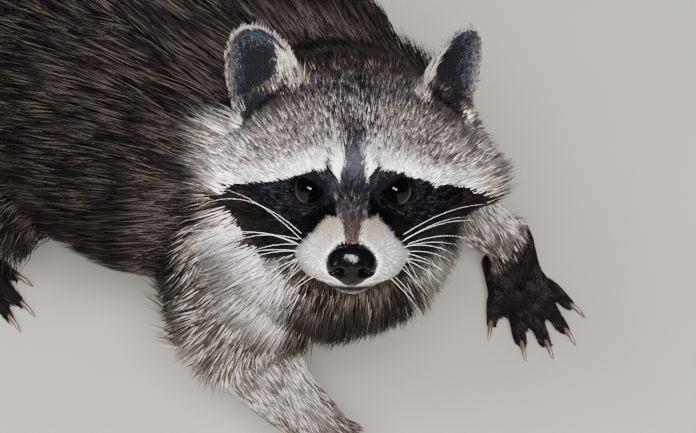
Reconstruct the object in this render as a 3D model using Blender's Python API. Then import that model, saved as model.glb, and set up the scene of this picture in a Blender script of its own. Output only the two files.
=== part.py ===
"""A raccoon, life size, standing on four feet with its head turned to the right and raised.

The frame is the animal's own: +X is where the trunk points, +Y is its left and +Z is up. The feet
stand on Z = 0. The solids follow the outside of the coat. The flesh is lofted limb by limb, fused
into one body, and then parted with thin cuts where a person would name the parts.
"""

import math

import bmesh
import bpy
import numpy as np
from mathutils import Matrix, Vector

GAP = 0.0003  # between neighbouring solids
SIDES = ((1, "left"), (-1, "right"))

# ---- How the head is carried -------------------------------------------------------------------
HEAD_YAW = math.radians(-47.7)  # turned to the animal's right
HEAD_PITCH = math.radians(31)  # and raised
HEAD_CENTRE = Vector((0.158, -0.054, 0.243))

# ---- Where the joints of the limbs are, for the left side: the right ones mirror them -----------
SHOULDER = Vector((0.104, 0.052, 0.166))
ELBOW = Vector((0.083, 0.074, 0.103))
FORE_WRIST = {"left": Vector((0.119, 0.121, 0.034)), "right": Vector((0.148, -0.056, 0.034))}
FORE_TURN = {"left": math.radians(-24), "right": math.radians(-34)}  # which way the paw points
HIP = Vector((-0.130, 0.058, 0.160))
KNEE = Vector((-0.070, 0.092, 0.100))
HOCK = Vector((-0.156, 0.088, 0.046))
HIND_TURN = {"left": math.radians(9), "right": math.radians(-9)}

# ---- Sizes of the small parts ------------------------------------------------------------------
EYE_RADIUS = 0.0088
EYE_PLACE = Vector((0.0288, 0.0201, 0.0116))  # the left eye's centre, in the head's frame
EAR_LENGTH, EAR_WIDTH, EAR_THICK = 0.052, 0.040, 0.0045
EAR_LEAN = {1: 12, -1: 14}  # how far each ear leans outwards in degrees, left and right
EAR_OUT = {1: 0.0440, -1: 0.0395}  # how far each ear stands from the middle of the head
EAR_OPEN = {1: 46, -1: 12}  # how far each ear's hollow is turned outwards, left and right
CLAW_LENGTH, CLAW_RADIUS = 0.0115, 0.0019
FORE_FINGER, HIND_TOE = 0.0310, 0.0280  # length of the middle digit
FINGER_RADIUS = 0.0047
KNUCKLE_HEIGHT = 0.0047  # so that the pads of the digits press a little flat on the floor

# ---- How fine the faceted solids are -----------------------------------------------------------
BODY_VOXEL, HEAD_VOXEL, PAW_VOXEL = 0.0032, 0.0020, 0.0012
BODY_TRIANGLES, HEAD_TRIANGLES, PAW_TRIANGLES = 1750, 3000, 250
FLAT = math.radians(0.1)  # faces as level as this with each other become one face


# ================================ Blender helpers ================================================
def clear_scene():
    for obj in list(bpy.data.objects):
        bpy.data.objects.remove(obj)


def make_material(name, colour, roughness, metallic=0.0):
    material = bpy.data.materials.new(name)
    material.use_nodes = True
    shader = material.node_tree.nodes["Principled BSDF"]
    shader.inputs["Base Color"].default_value = (*colour, 1.0)
    shader.inputs["Roughness"].default_value = roughness
    shader.inputs["Metallic"].default_value = metallic
    return material


def link_mesh(name, mesh):
    obj = bpy.data.objects.new(name, mesh)
    bpy.context.scene.collection.objects.link(obj)
    return obj


def closed_tube(rings, start, end):
    """A bmesh skinned over rings of points, closed by a point at each end."""
    form = bmesh.new()
    loops = [[form.verts.new(point) for point in ring] for ring in rings]
    count = len(loops[0])
    for lower, upper in zip(loops, loops[1:]):
        for i in range(count):
            j = (i + 1) % count
            form.faces.new((lower[i], lower[j], upper[j], upper[i]))
    first, last = form.verts.new(start), form.verts.new(end)
    for i in range(count):
        j = (i + 1) % count
        form.faces.new((first, loops[0][j], loops[0][i]))
        form.faces.new((last, loops[-1][i], loops[-1][j]))
    bmesh.ops.triangulate(form, faces=form.faces)  # so that each cut through it runs the same way
    bmesh.ops.recalc_face_normals(form, faces=form.faces)
    return form


def finish_form(name, form):
    mesh = bpy.data.meshes.new(name)
    form.to_mesh(mesh)
    form.free()
    return link_mesh(name, mesh)


def smooth_rows(rows, steps):
    """Catmull-Rom through the rows of a table, with so many steps from each row to the next."""
    table = np.array(rows, float)
    padded = np.vstack([2 * table[0] - table[1], table, 2 * table[-1] - table[-2]])
    made = []
    for i in range(1, len(padded) - 2):
        before, here, after, beyond = padded[i - 1 : i + 3]
        for t in np.arange(steps) / steps:
            bend = 2 * before - 5 * here + 4 * after - beyond
            lift = 3 * here - before - 3 * after + beyond
            made.append(here + 0.5 * t * (after - before + t * (bend + t * lift)))
    made.append(table[-1])
    return np.array(made)


def loft(name, stations, side=(0, 1, 0), steps=5, count=24, power=2.0, reach=0.35):
    """A closed limb through stations of (x, y, z, half width, height above, height below).

    side is the way the widths run, power above 2 makes the section squarer, and reach is how far
    the rounded ends stand out, as a share of the width there.
    """
    table = smooth_rows(stations, steps)
    centres, sizes = table[:, :3], np.maximum(table[:, 3:], 0.0006)
    tangents = np.gradient(centres, axis=0)
    angles = 2 * math.pi * np.arange(count) / count
    cosines, sines = np.cos(angles), np.sin(angles)
    across = np.sign(cosines) * np.abs(cosines) ** (2 / power)
    along = np.sign(sines) * np.abs(sines) ** (2 / power)
    rings = []
    for centre, tangent, (width, above, below) in zip(centres, tangents, sizes):
        forward = Vector(tangent).normalized()
        up = forward.cross(Vector(side)).normalized()
        beside = up.cross(forward)
        heights = np.where(along > 0, above, below) * along
        rings.append([Vector(centre) + beside * (width * a) + up * h for a, h in zip(across, heights)])
    ends = []
    for index, sign in ((0, -1), (-1, 1)):
        forward = Vector(tangents[index]).normalized()
        ends.append(Vector(centres[index]) + forward * (sign * reach * sizes[index][0]))
    return finish_form(name, closed_tube(rings, *ends))


def ball(name, centre, radii, turn=(0, 0, 0)):
    """An ellipsoid with these radii, turned by these degrees about X, Y and Z."""
    form = bmesh.new()
    bmesh.ops.create_icosphere(form, subdivisions=4, radius=1)
    spin = Matrix.Rotation(math.radians(turn[2]), 4, "Z")
    spin @= Matrix.Rotation(math.radians(turn[1]), 4, "Y")
    spin @= Matrix.Rotation(math.radians(turn[0]), 4, "X")
    size = Matrix.Diagonal((*radii, 1))
    bmesh.ops.transform(form, matrix=Matrix.Translation(centre) @ spin @ size, verts=form.verts)
    return finish_form(name, form)


def block(name, frame, low, high):
    """A box from low to high in the given frame."""
    form = bmesh.new()
    bmesh.ops.create_cube(form, size=1)
    low, high = Vector(low), Vector(high)
    size = Matrix.Diagonal((*(high - low), 1))
    bmesh.ops.transform(form, matrix=frame @ Matrix.Translation((low + high) / 2) @ size, verts=form.verts)
    return finish_form(name, form)


def apply_modifiers(obj):
    graph = bpy.context.evaluated_depsgraph_get()
    mesh = bpy.data.meshes.new_from_object(obj.evaluated_get(graph))
    obj.modifiers.clear()
    obj.data = mesh
    return obj


def copied(obj, name):
    return link_mesh(name, obj.data.copy())


def joined(name, objects):
    """One object with the meshes of all of these."""
    form = bmesh.new()
    for obj in objects:
        form.from_mesh(obj.data)
        bpy.data.objects.remove(obj)
    return finish_form(name, form)


def fused(obj, voxel, rounds, triangles):
    """Runs overlapping closed forms together into one smooth skin, then lightens it."""
    remesh = obj.modifiers.new("run together", "REMESH")
    remesh.mode = "VOXEL"
    remesh.voxel_size = voxel
    smooth = obj.modifiers.new("soften the joins", "SMOOTH")
    smooth.factor = 0.5
    smooth.iterations = rounds
    apply_modifiers(obj)
    lighten = obj.modifiers.new("lighten", "DECIMATE")
    lighten.ratio = min(1.0, triangles / (2 * len(obj.data.polygons)))
    apply_modifiers(obj)
    keep_largest(obj)
    return obj


def keep_largest(obj):
    """Drops the crumbs that a cut leaves, so that each part is one body."""
    form = bmesh.new()
    form.from_mesh(obj.data)
    left, bodies = set(form.verts), []
    while left:
        body, edge = set(), [left.pop()]
        while edge:
            vert = edge.pop()
            body.add(vert)
            near = {e.other_vert(vert) for e in vert.link_edges} & left
            left -= near
            edge += list(near)
        bodies.append(body)
    bodies.sort(key=len, reverse=True)
    crumbs = [vert for body in bodies[1:] for vert in body]
    bmesh.ops.delete(form, geom=crumbs, context="VERTS")
    bmesh.ops.dissolve_degenerate(form, edges=form.edges, dist=1e-6)
    bmesh.ops.dissolve_limit(form, angle_limit=FLAT, verts=form.verts, edges=form.edges)
    bmesh.ops.triangulate(form, faces=form.faces)
    form.to_mesh(obj.data)
    form.free()


def combine(obj, cutter, operation):
    modifier = obj.modifiers.new(operation.lower(), "BOOLEAN")
    modifier.operation = operation
    modifier.solver = "EXACT"
    modifier.object = cutter
    apply_modifiers(obj)
    keep_largest(obj)


def swollen(obj, by):
    """A copy whose faces all stand out by this much, for cutting with an even gap."""
    grown = copied(obj, obj.name + "_grown")
    form = bmesh.new()
    form.from_mesh(grown.data)
    form.normal_update()
    steps = [vert.normal * (by * min(2.5, vert.calc_shell_factor())) for vert in form.verts]
    for vert, step in zip(form.verts, steps):
        vert.co += step
    form.to_mesh(grown.data)
    form.free()
    return grown


def carve(whole, name, region):
    """Parts whole at the edge of region: what lies inside becomes a part of its own."""
    part = copied(whole, name)
    combine(part, region, "INTERSECT")
    edge = swollen(region, GAP)
    combine(whole, edge, "DIFFERENCE")
    for tool in (region, edge):
        bpy.data.objects.remove(tool)
    return part


def cut_clear(obj, other):
    """Takes other's room, and a gap round it, out of obj."""
    room = swollen(other, GAP)
    combine(obj, room, "DIFFERENCE")
    bpy.data.objects.remove(room)


def frame_at(origin, forward, side=(0, 1, 0)):
    """A frame whose X runs forward and whose Y is as near to side as it can be."""
    x = Vector(forward).normalized()
    z = x.cross(Vector(side)).normalized()
    y = z.cross(x)
    basis = Matrix((x, y, z)).transposed().to_4x4()
    return Matrix.Translation(origin) @ basis


def mirrored(point, sign):
    return Vector((point[0], point[1] * sign, point[2]))


def head_frame():
    turn = Matrix.Rotation(HEAD_YAW, 4, "Z") @ Matrix.Rotation(-HEAD_PITCH, 4, "Y")
    return Matrix.Translation(HEAD_CENTRE) @ turn


# ================================ the flesh ======================================================
def trunk_forms():
    """The trunk: narrow at the shoulders, deep at the belly, arched and widest over the loins."""
    spine = [  # x, y, z, half width, height above, height below
        (-0.208, 0, 0.162, 0.030, 0.030, 0.040),
        (-0.192, 0, 0.160, 0.066, 0.064, 0.064),
        (-0.154, 0, 0.158, 0.096, 0.100, 0.080),
        (-0.098, 0, 0.156, 0.112, 0.120, 0.093),
        (-0.040, 0, 0.154, 0.115, 0.113, 0.097),
        (0.018, 0, 0.154, 0.108, 0.096, 0.092),
        (0.070, 0, 0.157, 0.095, 0.083, 0.081),
        (0.114, -0.004, 0.163, 0.076, 0.068, 0.067),
        (0.148, -0.010, 0.170, 0.048, 0.045, 0.047),
    ]
    bib = ball("bib", (0.128, -0.030, 0.166), (0.050, 0.064, 0.064), (0, 25, -25))
    return [loft("spine", spine, power=2.15, count=32), bib]


def neck_forms():
    """A short thick neck that climbs to the right, up to the back of the head."""
    neck = [
        (0.060, 0.000, 0.172, 0.068, 0.062, 0.070),
        (0.098, -0.012, 0.194, 0.070, 0.060, 0.072),
        (0.126, -0.028, 0.217, 0.067, 0.056, 0.068),
        (0.150, -0.046, 0.240, 0.058, 0.046, 0.056),
    ]
    return [loft("neck", neck, power=2.0, count=28)]


def tail_forms():
    """A bushy tail that droops behind, stays clear of the floor and swings a little to the left."""
    tail = [
        (-0.176, 0.000, 0.176, 0.034, 0.032, 0.032),
        (-0.220, 0.003, 0.160, 0.035, 0.034, 0.035),
        (-0.264, 0.011, 0.130, 0.038, 0.037, 0.038),
        (-0.306, 0.024, 0.099, 0.041, 0.040, 0.040),
        (-0.350, 0.042, 0.076, 0.041, 0.040, 0.040),
        (-0.398, 0.063, 0.064, 0.037, 0.036, 0.036),
        (-0.438, 0.083, 0.063, 0.026, 0.026, 0.026),
        (-0.461, 0.095, 0.066, 0.010, 0.010, 0.010),
    ]
    return [loft("tail_form", tail, power=2.0, count=22)]


def wrist_stations(sign, side):
    """The lower foreleg, which the paw's own form shares at its upper end."""
    elbow, wrist = mirrored(ELBOW, sign), FORE_WRIST[side]
    middle = elbow.lerp(wrist, 0.5) + Vector((-0.004, 0.002 * sign, 0.0))
    palm = wrist + Vector((math.cos(FORE_TURN[side]), math.sin(FORE_TURN[side]), 0)) * 0.016
    palm.z = 0.0135
    return [
        (*elbow, 0.0300, 0.0290, 0.0330),
        (*middle, 0.0215, 0.0205, 0.0225),
        (*elbow.lerp(wrist, 0.82), 0.0160, 0.0150, 0.0165),
        (*wrist, 0.0150, 0.0130, 0.0140),
        (*palm, 0.0165, 0.0110, 0.0115),
    ]


def upper_arm_stations(sign):
    shoulder, elbow = mirrored(SHOULDER, sign), mirrored(ELBOW, sign)
    return [
        (*(shoulder + Vector((0.012, -0.006 * sign, 0.040))), 0.022, 0.028, 0.028),
        (*shoulder, 0.036, 0.050, 0.050),
        (*shoulder.lerp(elbow, 0.55), 0.033, 0.042, 0.043),
        (*elbow, 0.030, 0.030, 0.034),
        (*(elbow + Vector((-0.006, 0, -0.016))), 0.022, 0.020, 0.024),
    ]


def foreleg_forms(sign, side):
    return [
        loft("upper_form", upper_arm_stations(sign), steps=4, count=20),
        loft("lower_form", wrist_stations(sign, side), steps=4, count=20),
    ]


def hind_frame(sign, side):
    """The hind foot's frame: its origin is on the floor below the hock and X runs to the toes."""
    hock = mirrored(HOCK, sign)
    spin = Matrix.Rotation(HIND_TURN[side], 4, "Z")
    return Matrix.Translation((hock.x, hock.y, 0)) @ spin


def hock_stations(sign, side):
    """The shank's lower end and the heel, which the foot's own form shares."""
    knee, hock = mirrored(KNEE, sign), mirrored(HOCK, sign)
    heel = hind_frame(sign, side) @ Vector((0.004, 0, 0.0175))
    return [
        (*(knee + Vector((0.010, 0, 0.010))), 0.036, 0.040, 0.040),
        (*knee.lerp(hock, 0.35), 0.036, 0.040, 0.040),
        (*knee.lerp(hock, 0.72), 0.024, 0.025, 0.027),
        (*hock, 0.0180, 0.0180, 0.0185),
        (*heel, 0.0160, 0.0155, 0.0160),
    ]


def thigh_stations(sign):
    hip, knee = mirrored(HIP, sign), mirrored(KNEE, sign)
    return [
        (*(hip + Vector((-0.014, -0.010 * sign, 0.046))), 0.026, 0.040, 0.040),
        (*hip, 0.046, 0.074, 0.070),
        (*hip.lerp(knee, 0.55), 0.041, 0.060, 0.064),
        (*(knee + Vector((0.004, 0, -0.002))), 0.034, 0.038, 0.044),
        (*(knee + Vector((0.008, 0, -0.020))), 0.022, 0.020, 0.026),
    ]


def hind_leg_forms(sign, side):
    return [
        loft("thigh_form", thigh_stations(sign), steps=4, count=24),
        loft("shank_form", hock_stations(sign, side), steps=4, count=20),
    ]


def head_forms():
    """The head, in its own frame in millimetres: X to the nose, Y to its left, Z to its crown."""
    skull = [  # x, half width, top, bottom, height of the widest place
        (-64, 45, 40, -30, 1),
        (-48, 64, 51, -36, 0),
        (-32, 74, 57, -38, 0),
        (-17, 76, 57.5, -38, 0),
        (-5, 69, 55, -37, -2),
        (7, 53, 48.5, -35, -5),
        (17, 39, 40, -33, -10),
        (25, 26, 30, -31, -14),
        (31, 16, 20, -29, -16),
    ]
    upper_jaw = [
        (0, 42, 6, -35, -16),
        (18, 36, 7, -33, -16),
        (33, 30, 8, -31, -15),
        (47, 26, 6.5, -29, -14),
        (60, 22.5, 4, -27, -12),
        (71, 19, 2, -23, -10),
        (79, 15, 0, -18, -8),
        (84, 11, -2, -14, -7),
    ]
    bridge = [
        (2, 15, 47, -20, 8),
        (18, 11, 36, -20, 4),
        (32, 9.5, 24, -20, 0),
        (46, 9.5, 16, -20, -4),
        (60, 9.5, 10.5, -18, -5),
        (71, 9, 7, -16, -5),
        (80, 7.5, 4, -12, -5),
        (85, 5, 1.5, -10, -5),
    ]
    forms = []
    for name, profile, power in (("skull", skull, 1.88), ("upper_jaw", upper_jaw, 2.0), ("bridge", bridge, 2.0)):
        stations = [(x, 0, mid, wide, top - mid, mid - low) for x, wide, top, low, mid in profile]
        forms.append(loft(name, stations, steps=4, count=32, power=power))
    forms.append(ball("chin", (52, 0, -22.5), (24, 12.5, 7.5), (0, 2, 0)))
    forms.append(ball("throat", (-16, 0, -26), (46, 48, 22), (0, 12, 0)))
    for sign, _ in SIDES:
        forms.append(ball("lip", (56, 13.5 * sign, -11.5), (21, 14.5, 11.4), (8 * sign, 12, -10 * sign)))
        forms.append(ball("brow", (15, 22 * sign, 22.5), (13, 15, 7), (0, 40, 30 * sign)))
        forms.append(ball("ear_root", (-29, 41 * sign, 30), (15, 15, 15), (-20 * sign, 0, 0)))
    shrink = head_frame() @ Matrix.Scale(0.001, 4)
    for form in forms:
        form.data.transform(shrink)
    return forms


# ================================ paws and claws =================================================
def digit_stations(reach, lean, rise):
    """One digit from its knuckle at the origin along X: it arches, then rests its pad on the floor."""
    return [
        (-0.40 * reach, 0, 0.0015, FINGER_RADIUS * 1.10, FINGER_RADIUS * 1.05, FINGER_RADIUS),
        (0.00, 0, rise * 0.7, FINGER_RADIUS * 1.05, FINGER_RADIUS * 1.05, FINGER_RADIUS),
        (0.34 * reach, lean * 0.3, rise, FINGER_RADIUS * 1.08, FINGER_RADIUS * 1.1, FINGER_RADIUS),
        (0.62 * reach, lean * 0.6, rise * 0.45, FINGER_RADIUS * 0.94, FINGER_RADIUS * 0.92, FINGER_RADIUS),
        (0.86 * reach, lean * 0.9, -0.0005, FINGER_RADIUS * 0.90, FINGER_RADIUS * 0.86, FINGER_RADIUS * 0.95),
        (1.00 * reach, lean, -0.0014, FINGER_RADIUS * 0.62, FINGER_RADIUS * 0.60, FINGER_RADIUS * 0.64),
    ]


def digits_of(kind, side):
    """(knuckle x, knuckle y, angle in degrees, length) of the five digits, the inner one first."""
    inward = -1 if side == "left" else 1
    if kind == "fore":
        spread = ((0.001, 0.0130, 32, 0.72), (0.0125, 0.0085, 12, 0.95), (0.0155, 0.0005, 1, 1.0))
        spread += ((0.0130, -0.0080, -11, 0.96), (0.004, -0.0140, -27, 0.80))
        length = FORE_FINGER
    else:
        spread = ((0.044, 0.0125, 24, 0.78), (0.057, 0.0075, 9, 0.96), (0.060, 0.0000, 0, 1.0))
        spread += ((0.057, -0.0080, -9, 0.97), (0.046, -0.0135, -22, 0.84))
        length = HIND_TOE
    return [(x, y * inward, angle * inward, share * length) for x, y, angle, share in spread]


def knuckle_frames(kind, paw, side):
    """The frame of each digit's knuckle and the digit's length."""
    frames = []
    for x, y, angle, length in digits_of(kind, side):
        spin = Matrix.Rotation(math.radians(angle), 4, "Z")
        frames.append((paw @ Matrix.Translation((x, y, KNUCKLE_HEIGHT)) @ spin, length))
    return frames


def fore_paw_frame(side):
    """The forepaw's frame: its origin is on the floor below the wrist and X runs to the fingers."""
    wrist = FORE_WRIST[side]
    return Matrix.Translation((wrist.x, wrist.y, 0)) @ Matrix.Rotation(FORE_TURN[side], 4, "Z")


def paw_solid(kind, sign, side):
    """A hand-like paw: palm and five long digits, fused with the end of the leg above it."""
    if kind == "fore":
        paw = fore_paw_frame(side) @ Matrix.Translation((0.012, 0, 0))
        leg = wrist_stations(sign, side)
        palm = [
            (-0.020, 0, 0.0150, 0.0125, 0.0110, 0.0130),
            (-0.006, 0, 0.0120, 0.0165, 0.0120, 0.0132),
            (0.010, 0, 0.0090, 0.0180, 0.0100, 0.0105),
            (0.020, 0, 0.0072, 0.0150, 0.0078, 0.0084),
        ]
    else:
        paw = hind_frame(sign, side)
        leg = hock_stations(sign, side)
        palm = [
            (-0.016, 0, 0.0150, 0.0110, 0.0110, 0.0130),
            (-0.002, 0, 0.0150, 0.0155, 0.0175, 0.0162),
            (0.022, 0, 0.0130, 0.0165, 0.0170, 0.0142),
            (0.046, 0, 0.0092, 0.0182, 0.0120, 0.0106),
            (0.064, 0, 0.0070, 0.0150, 0.0086, 0.0084),
        ]
    pads = loft("palm", palm, steps=4, count=20, power=2.2)
    pads.data.transform(paw)
    forms = [pads, loft("leg_end", leg[-3:], steps=4, count=20)]
    for knuckle, length in knuckle_frames(kind, paw, side):
        digit = loft("digit", digit_stations(length, 0.0, 0.0042), steps=3, count=12)
        digit.data.transform(knuckle)
        forms.append(digit)
    solid = fused(joined(f"{kind}paw_{side}", forms), PAW_VOXEL, 3, PAW_TRIANGLES)
    return solid, paw


def claw(name, knuckle, length):
    """A curved, tapering claw that grows from the tip of a digit and ends just above the floor."""
    base = 0.90 * length
    path = [
        (base, 0, 0.0007, CLAW_RADIUS * 0.88, CLAW_RADIUS * 1.10, CLAW_RADIUS * 0.9),
        (base + 0.45 * CLAW_LENGTH, 0, 0.0003, CLAW_RADIUS * 0.78, CLAW_RADIUS * 0.95, CLAW_RADIUS * 0.85),
        (base + 1.00 * CLAW_LENGTH, 0, -0.0032, 0.00045, 0.00045, 0.00045),
    ]
    horn = loft(name, path, steps=1, count=5)
    horn.data.transform(knuckle)
    return horn


# ================================ head parts =====================================================
def ear_solid(name, sign):
    """A rounded, cupped ear, thin at its rim, that leans out from the side of the crown."""
    rows, columns = 6, 5
    form = bmesh.new()
    sheets = []
    for back in (0, 1):
        sheet = []
        for row in range(rows + 1):
            up = math.sin(math.pi / 2 * row / rows)
            half = EAR_WIDTH / 2 * (1 - 0.10 * up) * math.sqrt(max(0.0, 1 - up**3.8)) + 0.0008
            line = []
            for column in range(columns + 1):
                along = 2 * column / columns - 1
                cup = 0.58 * half * (along * along - 1)
                body = EAR_THICK * (1.0 - 0.45 * up) * math.sqrt(max(0.0, 1 - 0.85 * along * along))
                depth = cup - back * max(body, 0.3 * EAR_THICK)
                line.append(form.verts.new((depth + 0.004 * up * up, along * half * sign, up * EAR_LENGTH)))
            sheet.append(line)
        sheets.append(sheet)
    front, rear = sheets
    for row in range(rows):
        for column in range(columns):
            for sheet in sheets:
                ring = (sheet[row][column], sheet[row][column + 1], sheet[row + 1][column + 1], sheet[row + 1][column])
                form.faces.new(ring)
    for row in range(rows):
        for column in (0, columns):
            form.faces.new((front[row][column], front[row + 1][column], rear[row + 1][column], rear[row][column]))
    for column in range(columns):
        for row in (0, rows):
            form.faces.new((front[row][column], front[row][column + 1], rear[row][column + 1], rear[row][column]))
    bmesh.ops.recalc_face_normals(form, faces=form.faces)
    place = Matrix.Translation((-0.020, EAR_OUT[sign] * sign, 0.030))
    place @= Matrix.Rotation(math.radians(-EAR_LEAN[sign] * sign), 4, "X")
    place @= Matrix.Rotation(math.radians(EAR_OPEN[sign] * sign), 4, "Z")
    bmesh.ops.transform(form, matrix=head_frame() @ place, verts=form.verts)
    return finish_form(name, form)


def nose_solid():
    """The bare nose: a rounded pad, fuller at its sides, notched below by the two nostrils."""
    forms = [
        ball("pad", (80.6, 0, -8.8), (7.8, 11.4, 9.4), (0, -12, 0)),
        ball("tip", (82.6, 0, -7.4), (6.6, 8.4, 7.8)),
        ball("septum", (80.5, 0, -15.4), (5.6, 6.6, 5.2)),
    ]
    for sign, _ in SIDES:
        forms.append(ball("wing", (80.0, 7.2 * sign, -9.6), (6.4, 5.2, 6.4)))
    whole = joined("nose", forms)
    whole.data.transform(head_frame() @ Matrix.Scale(0.001, 4))
    return fused(whole, 0.0008, 4, 200)


def eye_solid(name, sign):
    form = bmesh.new()
    bmesh.ops.create_uvsphere(form, u_segments=11, v_segments=6, radius=EYE_RADIUS)
    place = head_frame() @ Matrix.Translation(mirrored(EYE_PLACE, sign))
    bmesh.ops.transform(form, matrix=place @ Matrix.Rotation(math.radians(90), 4, "Y"), verts=form.verts)
    return finish_form(name, form)


# ================================ parting the body ===============================================
def beyond(name, origin, forward, wide, deep):
    """A box that holds everything past a plane through origin, as far as wide and deep."""
    return block(name, frame_at(origin, forward), (0, -wide, -wide), (deep, wide, wide))


def head_region():
    """All that lies ahead of a plane across the back of the head."""
    skull = head_frame()
    back = skull @ Vector((-0.046, 0, -0.004))
    ahead = (skull.to_3x3() @ Vector((1, 0, 0.38))).normalized()
    return beyond("head_room", back, ahead, 0.125, 0.22)


def jaw_region():
    """A wedge under the line of the mouth, from the chin to the corner of the lips."""
    mouth = head_frame() @ Matrix.Translation((0.034, 0, -0.0245)) @ Matrix.Rotation(math.radians(-6), 4, "Y")
    return block("jaw_room", mouth, (0, -0.05, -0.03), (0.06, 0.05, 0))


def sleeve(name, stations, margin, outward, count=9):
    """A flat-ended tube round a limb, wider than it by margin and moved outwards by outward."""
    wide = []
    for x, y, z, *sizes in stations:
        wide.append((x, y + outward, z, *(size + margin for size in sizes)))
    return loft(name, wide, steps=1, count=count, reach=0.0)


def arm_region(sign, side):
    return sleeve("arm_room", upper_arm_stations(sign), 0.005, 0.007 * sign, 14)


def forearm_region(sign, side):
    stations = wrist_stations(sign, side)
    elbow, wrist = mirrored(ELBOW, sign), FORE_WRIST[side]
    top = elbow.lerp(wrist, 0.16)
    return sleeve("forearm_room", [(*top, 0.030, 0.030, 0.034), *stations[1:]], 0.007, 0.0)


def thigh_region(sign, side):
    return sleeve("thigh_room", thigh_stations(sign), 0.006, 0.009 * sign, 14)


def shank_region(sign, side):
    stations = hock_stations(sign, side)
    top = mirrored(KNEE, sign).lerp(mirrored(HOCK, sign), 0.42)
    return sleeve("shank_room", [(*top, 0.036, 0.040, 0.040), *stations[2:]], 0.007, 0.0)


LIMBS = (  # kind of paw, upper part, lower part, and the rooms that part them
    ("fore", "upper_arm", "forearm", arm_region, forearm_region),
    ("hind", "thigh", "shank", thigh_region, shank_region),
)


def paw_room(kind, sign, side):
    """Everything past the wrist or the hock."""
    if kind == "fore":
        joint, upper = FORE_WRIST[side], mirrored(ELBOW, sign)
        down = joint - upper
    else:
        joint, upper = mirrored(HOCK, sign), mirrored(KNEE, sign)
        down = Vector((0.1, 0, -1))
    above = joint + (upper - joint).normalized() * 0.003
    return beyond("paw_room", above, down, 0.13 if kind == "hind" else 0.06, 0.08)


def build_limb(body, kind, sign, side, parts):
    """Parts one leg from the body: its paw with five claws, its lower and its upper part."""
    _, upper, lower, upper_region, lower_region = next(row for row in LIMBS if row[0] == kind)
    paw, frame = paw_solid(kind, sign, side)
    room = paw_room(kind, sign, side)
    combine(paw, room, "INTERSECT")
    floor = block("floor", Matrix.Identity(4), (-1, -1, -0.1), (1, 1, 0))
    combine(paw, floor, "DIFFERENCE")
    trim = swollen(room, GAP)
    combine(body, trim, "DIFFERENCE")
    for tool in (room, trim, floor):
        bpy.data.objects.remove(tool)
    parts[paw.name] = paw
    for name, region in ((lower, lower_region), (upper, upper_region)):
        parts[f"{name}_{side}"] = carve(body, f"{name}_{side}", region(sign, side))
    for number, (knuckle, length) in enumerate(knuckle_frames(kind, frame, side), 1):
        horn = claw(f"claw_{kind}_{side}_{number}", knuckle, length)
        cut_clear(paw, horn)
        parts[horn.name] = horn


def build_flesh():
    """The flesh twice, once light for the body and once finer for the head."""
    made = []
    for kind, voxel, rounds, triangles in (
        ("body", BODY_VOXEL, 6, BODY_TRIANGLES),
        ("fine", HEAD_VOXEL, 12, HEAD_TRIANGLES),
    ):
        forms = neck_forms() + head_forms() + trunk_forms()
        if kind == "body":
            forms += tail_forms()
            for sign, side in SIDES:
                forms += foreleg_forms(sign, side) + hind_leg_forms(sign, side)
        made.append(fused(joined(kind, forms), voxel, rounds, triangles))
    return made


def build_head(fine, parts):
    """The head with its jaw, nose, eyes and ears, each set in its own place in it."""
    room = head_region()
    combine(fine, room, "INTERSECT")
    fine.name = "head"
    head = fine
    parts["head"] = head
    parts["nose"] = nose_solid()
    cut_clear(head, parts["nose"])
    parts["lower_jaw"] = carve(head, "lower_jaw", jaw_region())
    for sign, side in SIDES:
        eye = eye_solid(f"eye_{side}", sign)
        cut_clear(head, eye)
        ear = ear_solid(f"ear_{side}", sign)
        cut_clear(ear, head)
        parts[eye.name], parts[ear.name] = eye, ear
    return room


def build_parts():
    parts = {}
    body, fine = build_flesh()
    room = build_head(fine, parts)
    behind = swollen(room, GAP)
    combine(body, behind, "DIFFERENCE")
    for tool in (room, behind):
        bpy.data.objects.remove(tool)
    for name, origin, forward, wide, deep in (
        ("neck", (0.112, -0.012, 0.205), (0.62, -0.28, 0.74), 0.13, 0.2),
        ("tail", (-0.204, 0, 0.17), (-1, 0, -0.35), 0.12, 0.4),
    ):
        parts[name] = carve(body, name, beyond(f"{name}_room", origin, forward, wide, deep))
    for kind in ("fore", "hind"):
        for sign, side in SIDES:
            build_limb(body, kind, sign, side, parts)
    body.name = "trunk"
    parts["trunk"] = body
    return parts


# ================================ finishes =======================================================
FUR_DARK, FUR_GREY, FUR_PALE = (0.055, 0.043, 0.038), (0.20, 0.17, 0.15), (0.52, 0.47, 0.42)
FINISHES = (  # the start of a node's name, its colour and its roughness
    ("head", FUR_GREY, 0.85),
    ("lower_jaw", FUR_PALE, 0.85),
    ("nose", (0.012, 0.011, 0.012), 0.30),
    ("eye", (0.010, 0.007, 0.005), 0.05),
    ("ear", FUR_PALE, 0.85),
    ("neck", FUR_GREY, 0.85),
    ("trunk", FUR_DARK, 0.85),
    ("tail", FUR_GREY, 0.85),
    ("upper_arm", FUR_DARK, 0.85),
    ("forearm", FUR_DARK, 0.85),
    ("forepaw", (0.030, 0.024, 0.022), 0.60),
    ("thigh", FUR_DARK, 0.85),
    ("shank", FUR_DARK, 0.85),
    ("hindpaw", (0.030, 0.024, 0.022), 0.60),
    ("claw", (0.045, 0.036, 0.030), 0.35),
)


def centre_on_floor(parts):
    """Moves the whole animal so that its box stands centred on the origin."""
    corners = [Vector(corner) for obj in parts.values() for corner in obj.bound_box]
    low = [min(corner[axis] for corner in corners) for axis in (0, 1)]
    high = [max(corner[axis] for corner in corners) for axis in (0, 1)]
    shift = Vector((-(low[0] + high[0]) / 2, -(low[1] + high[1]) / 2, 0))
    for obj in parts.values():
        obj.data.transform(Matrix.Translation(shift))


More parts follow.
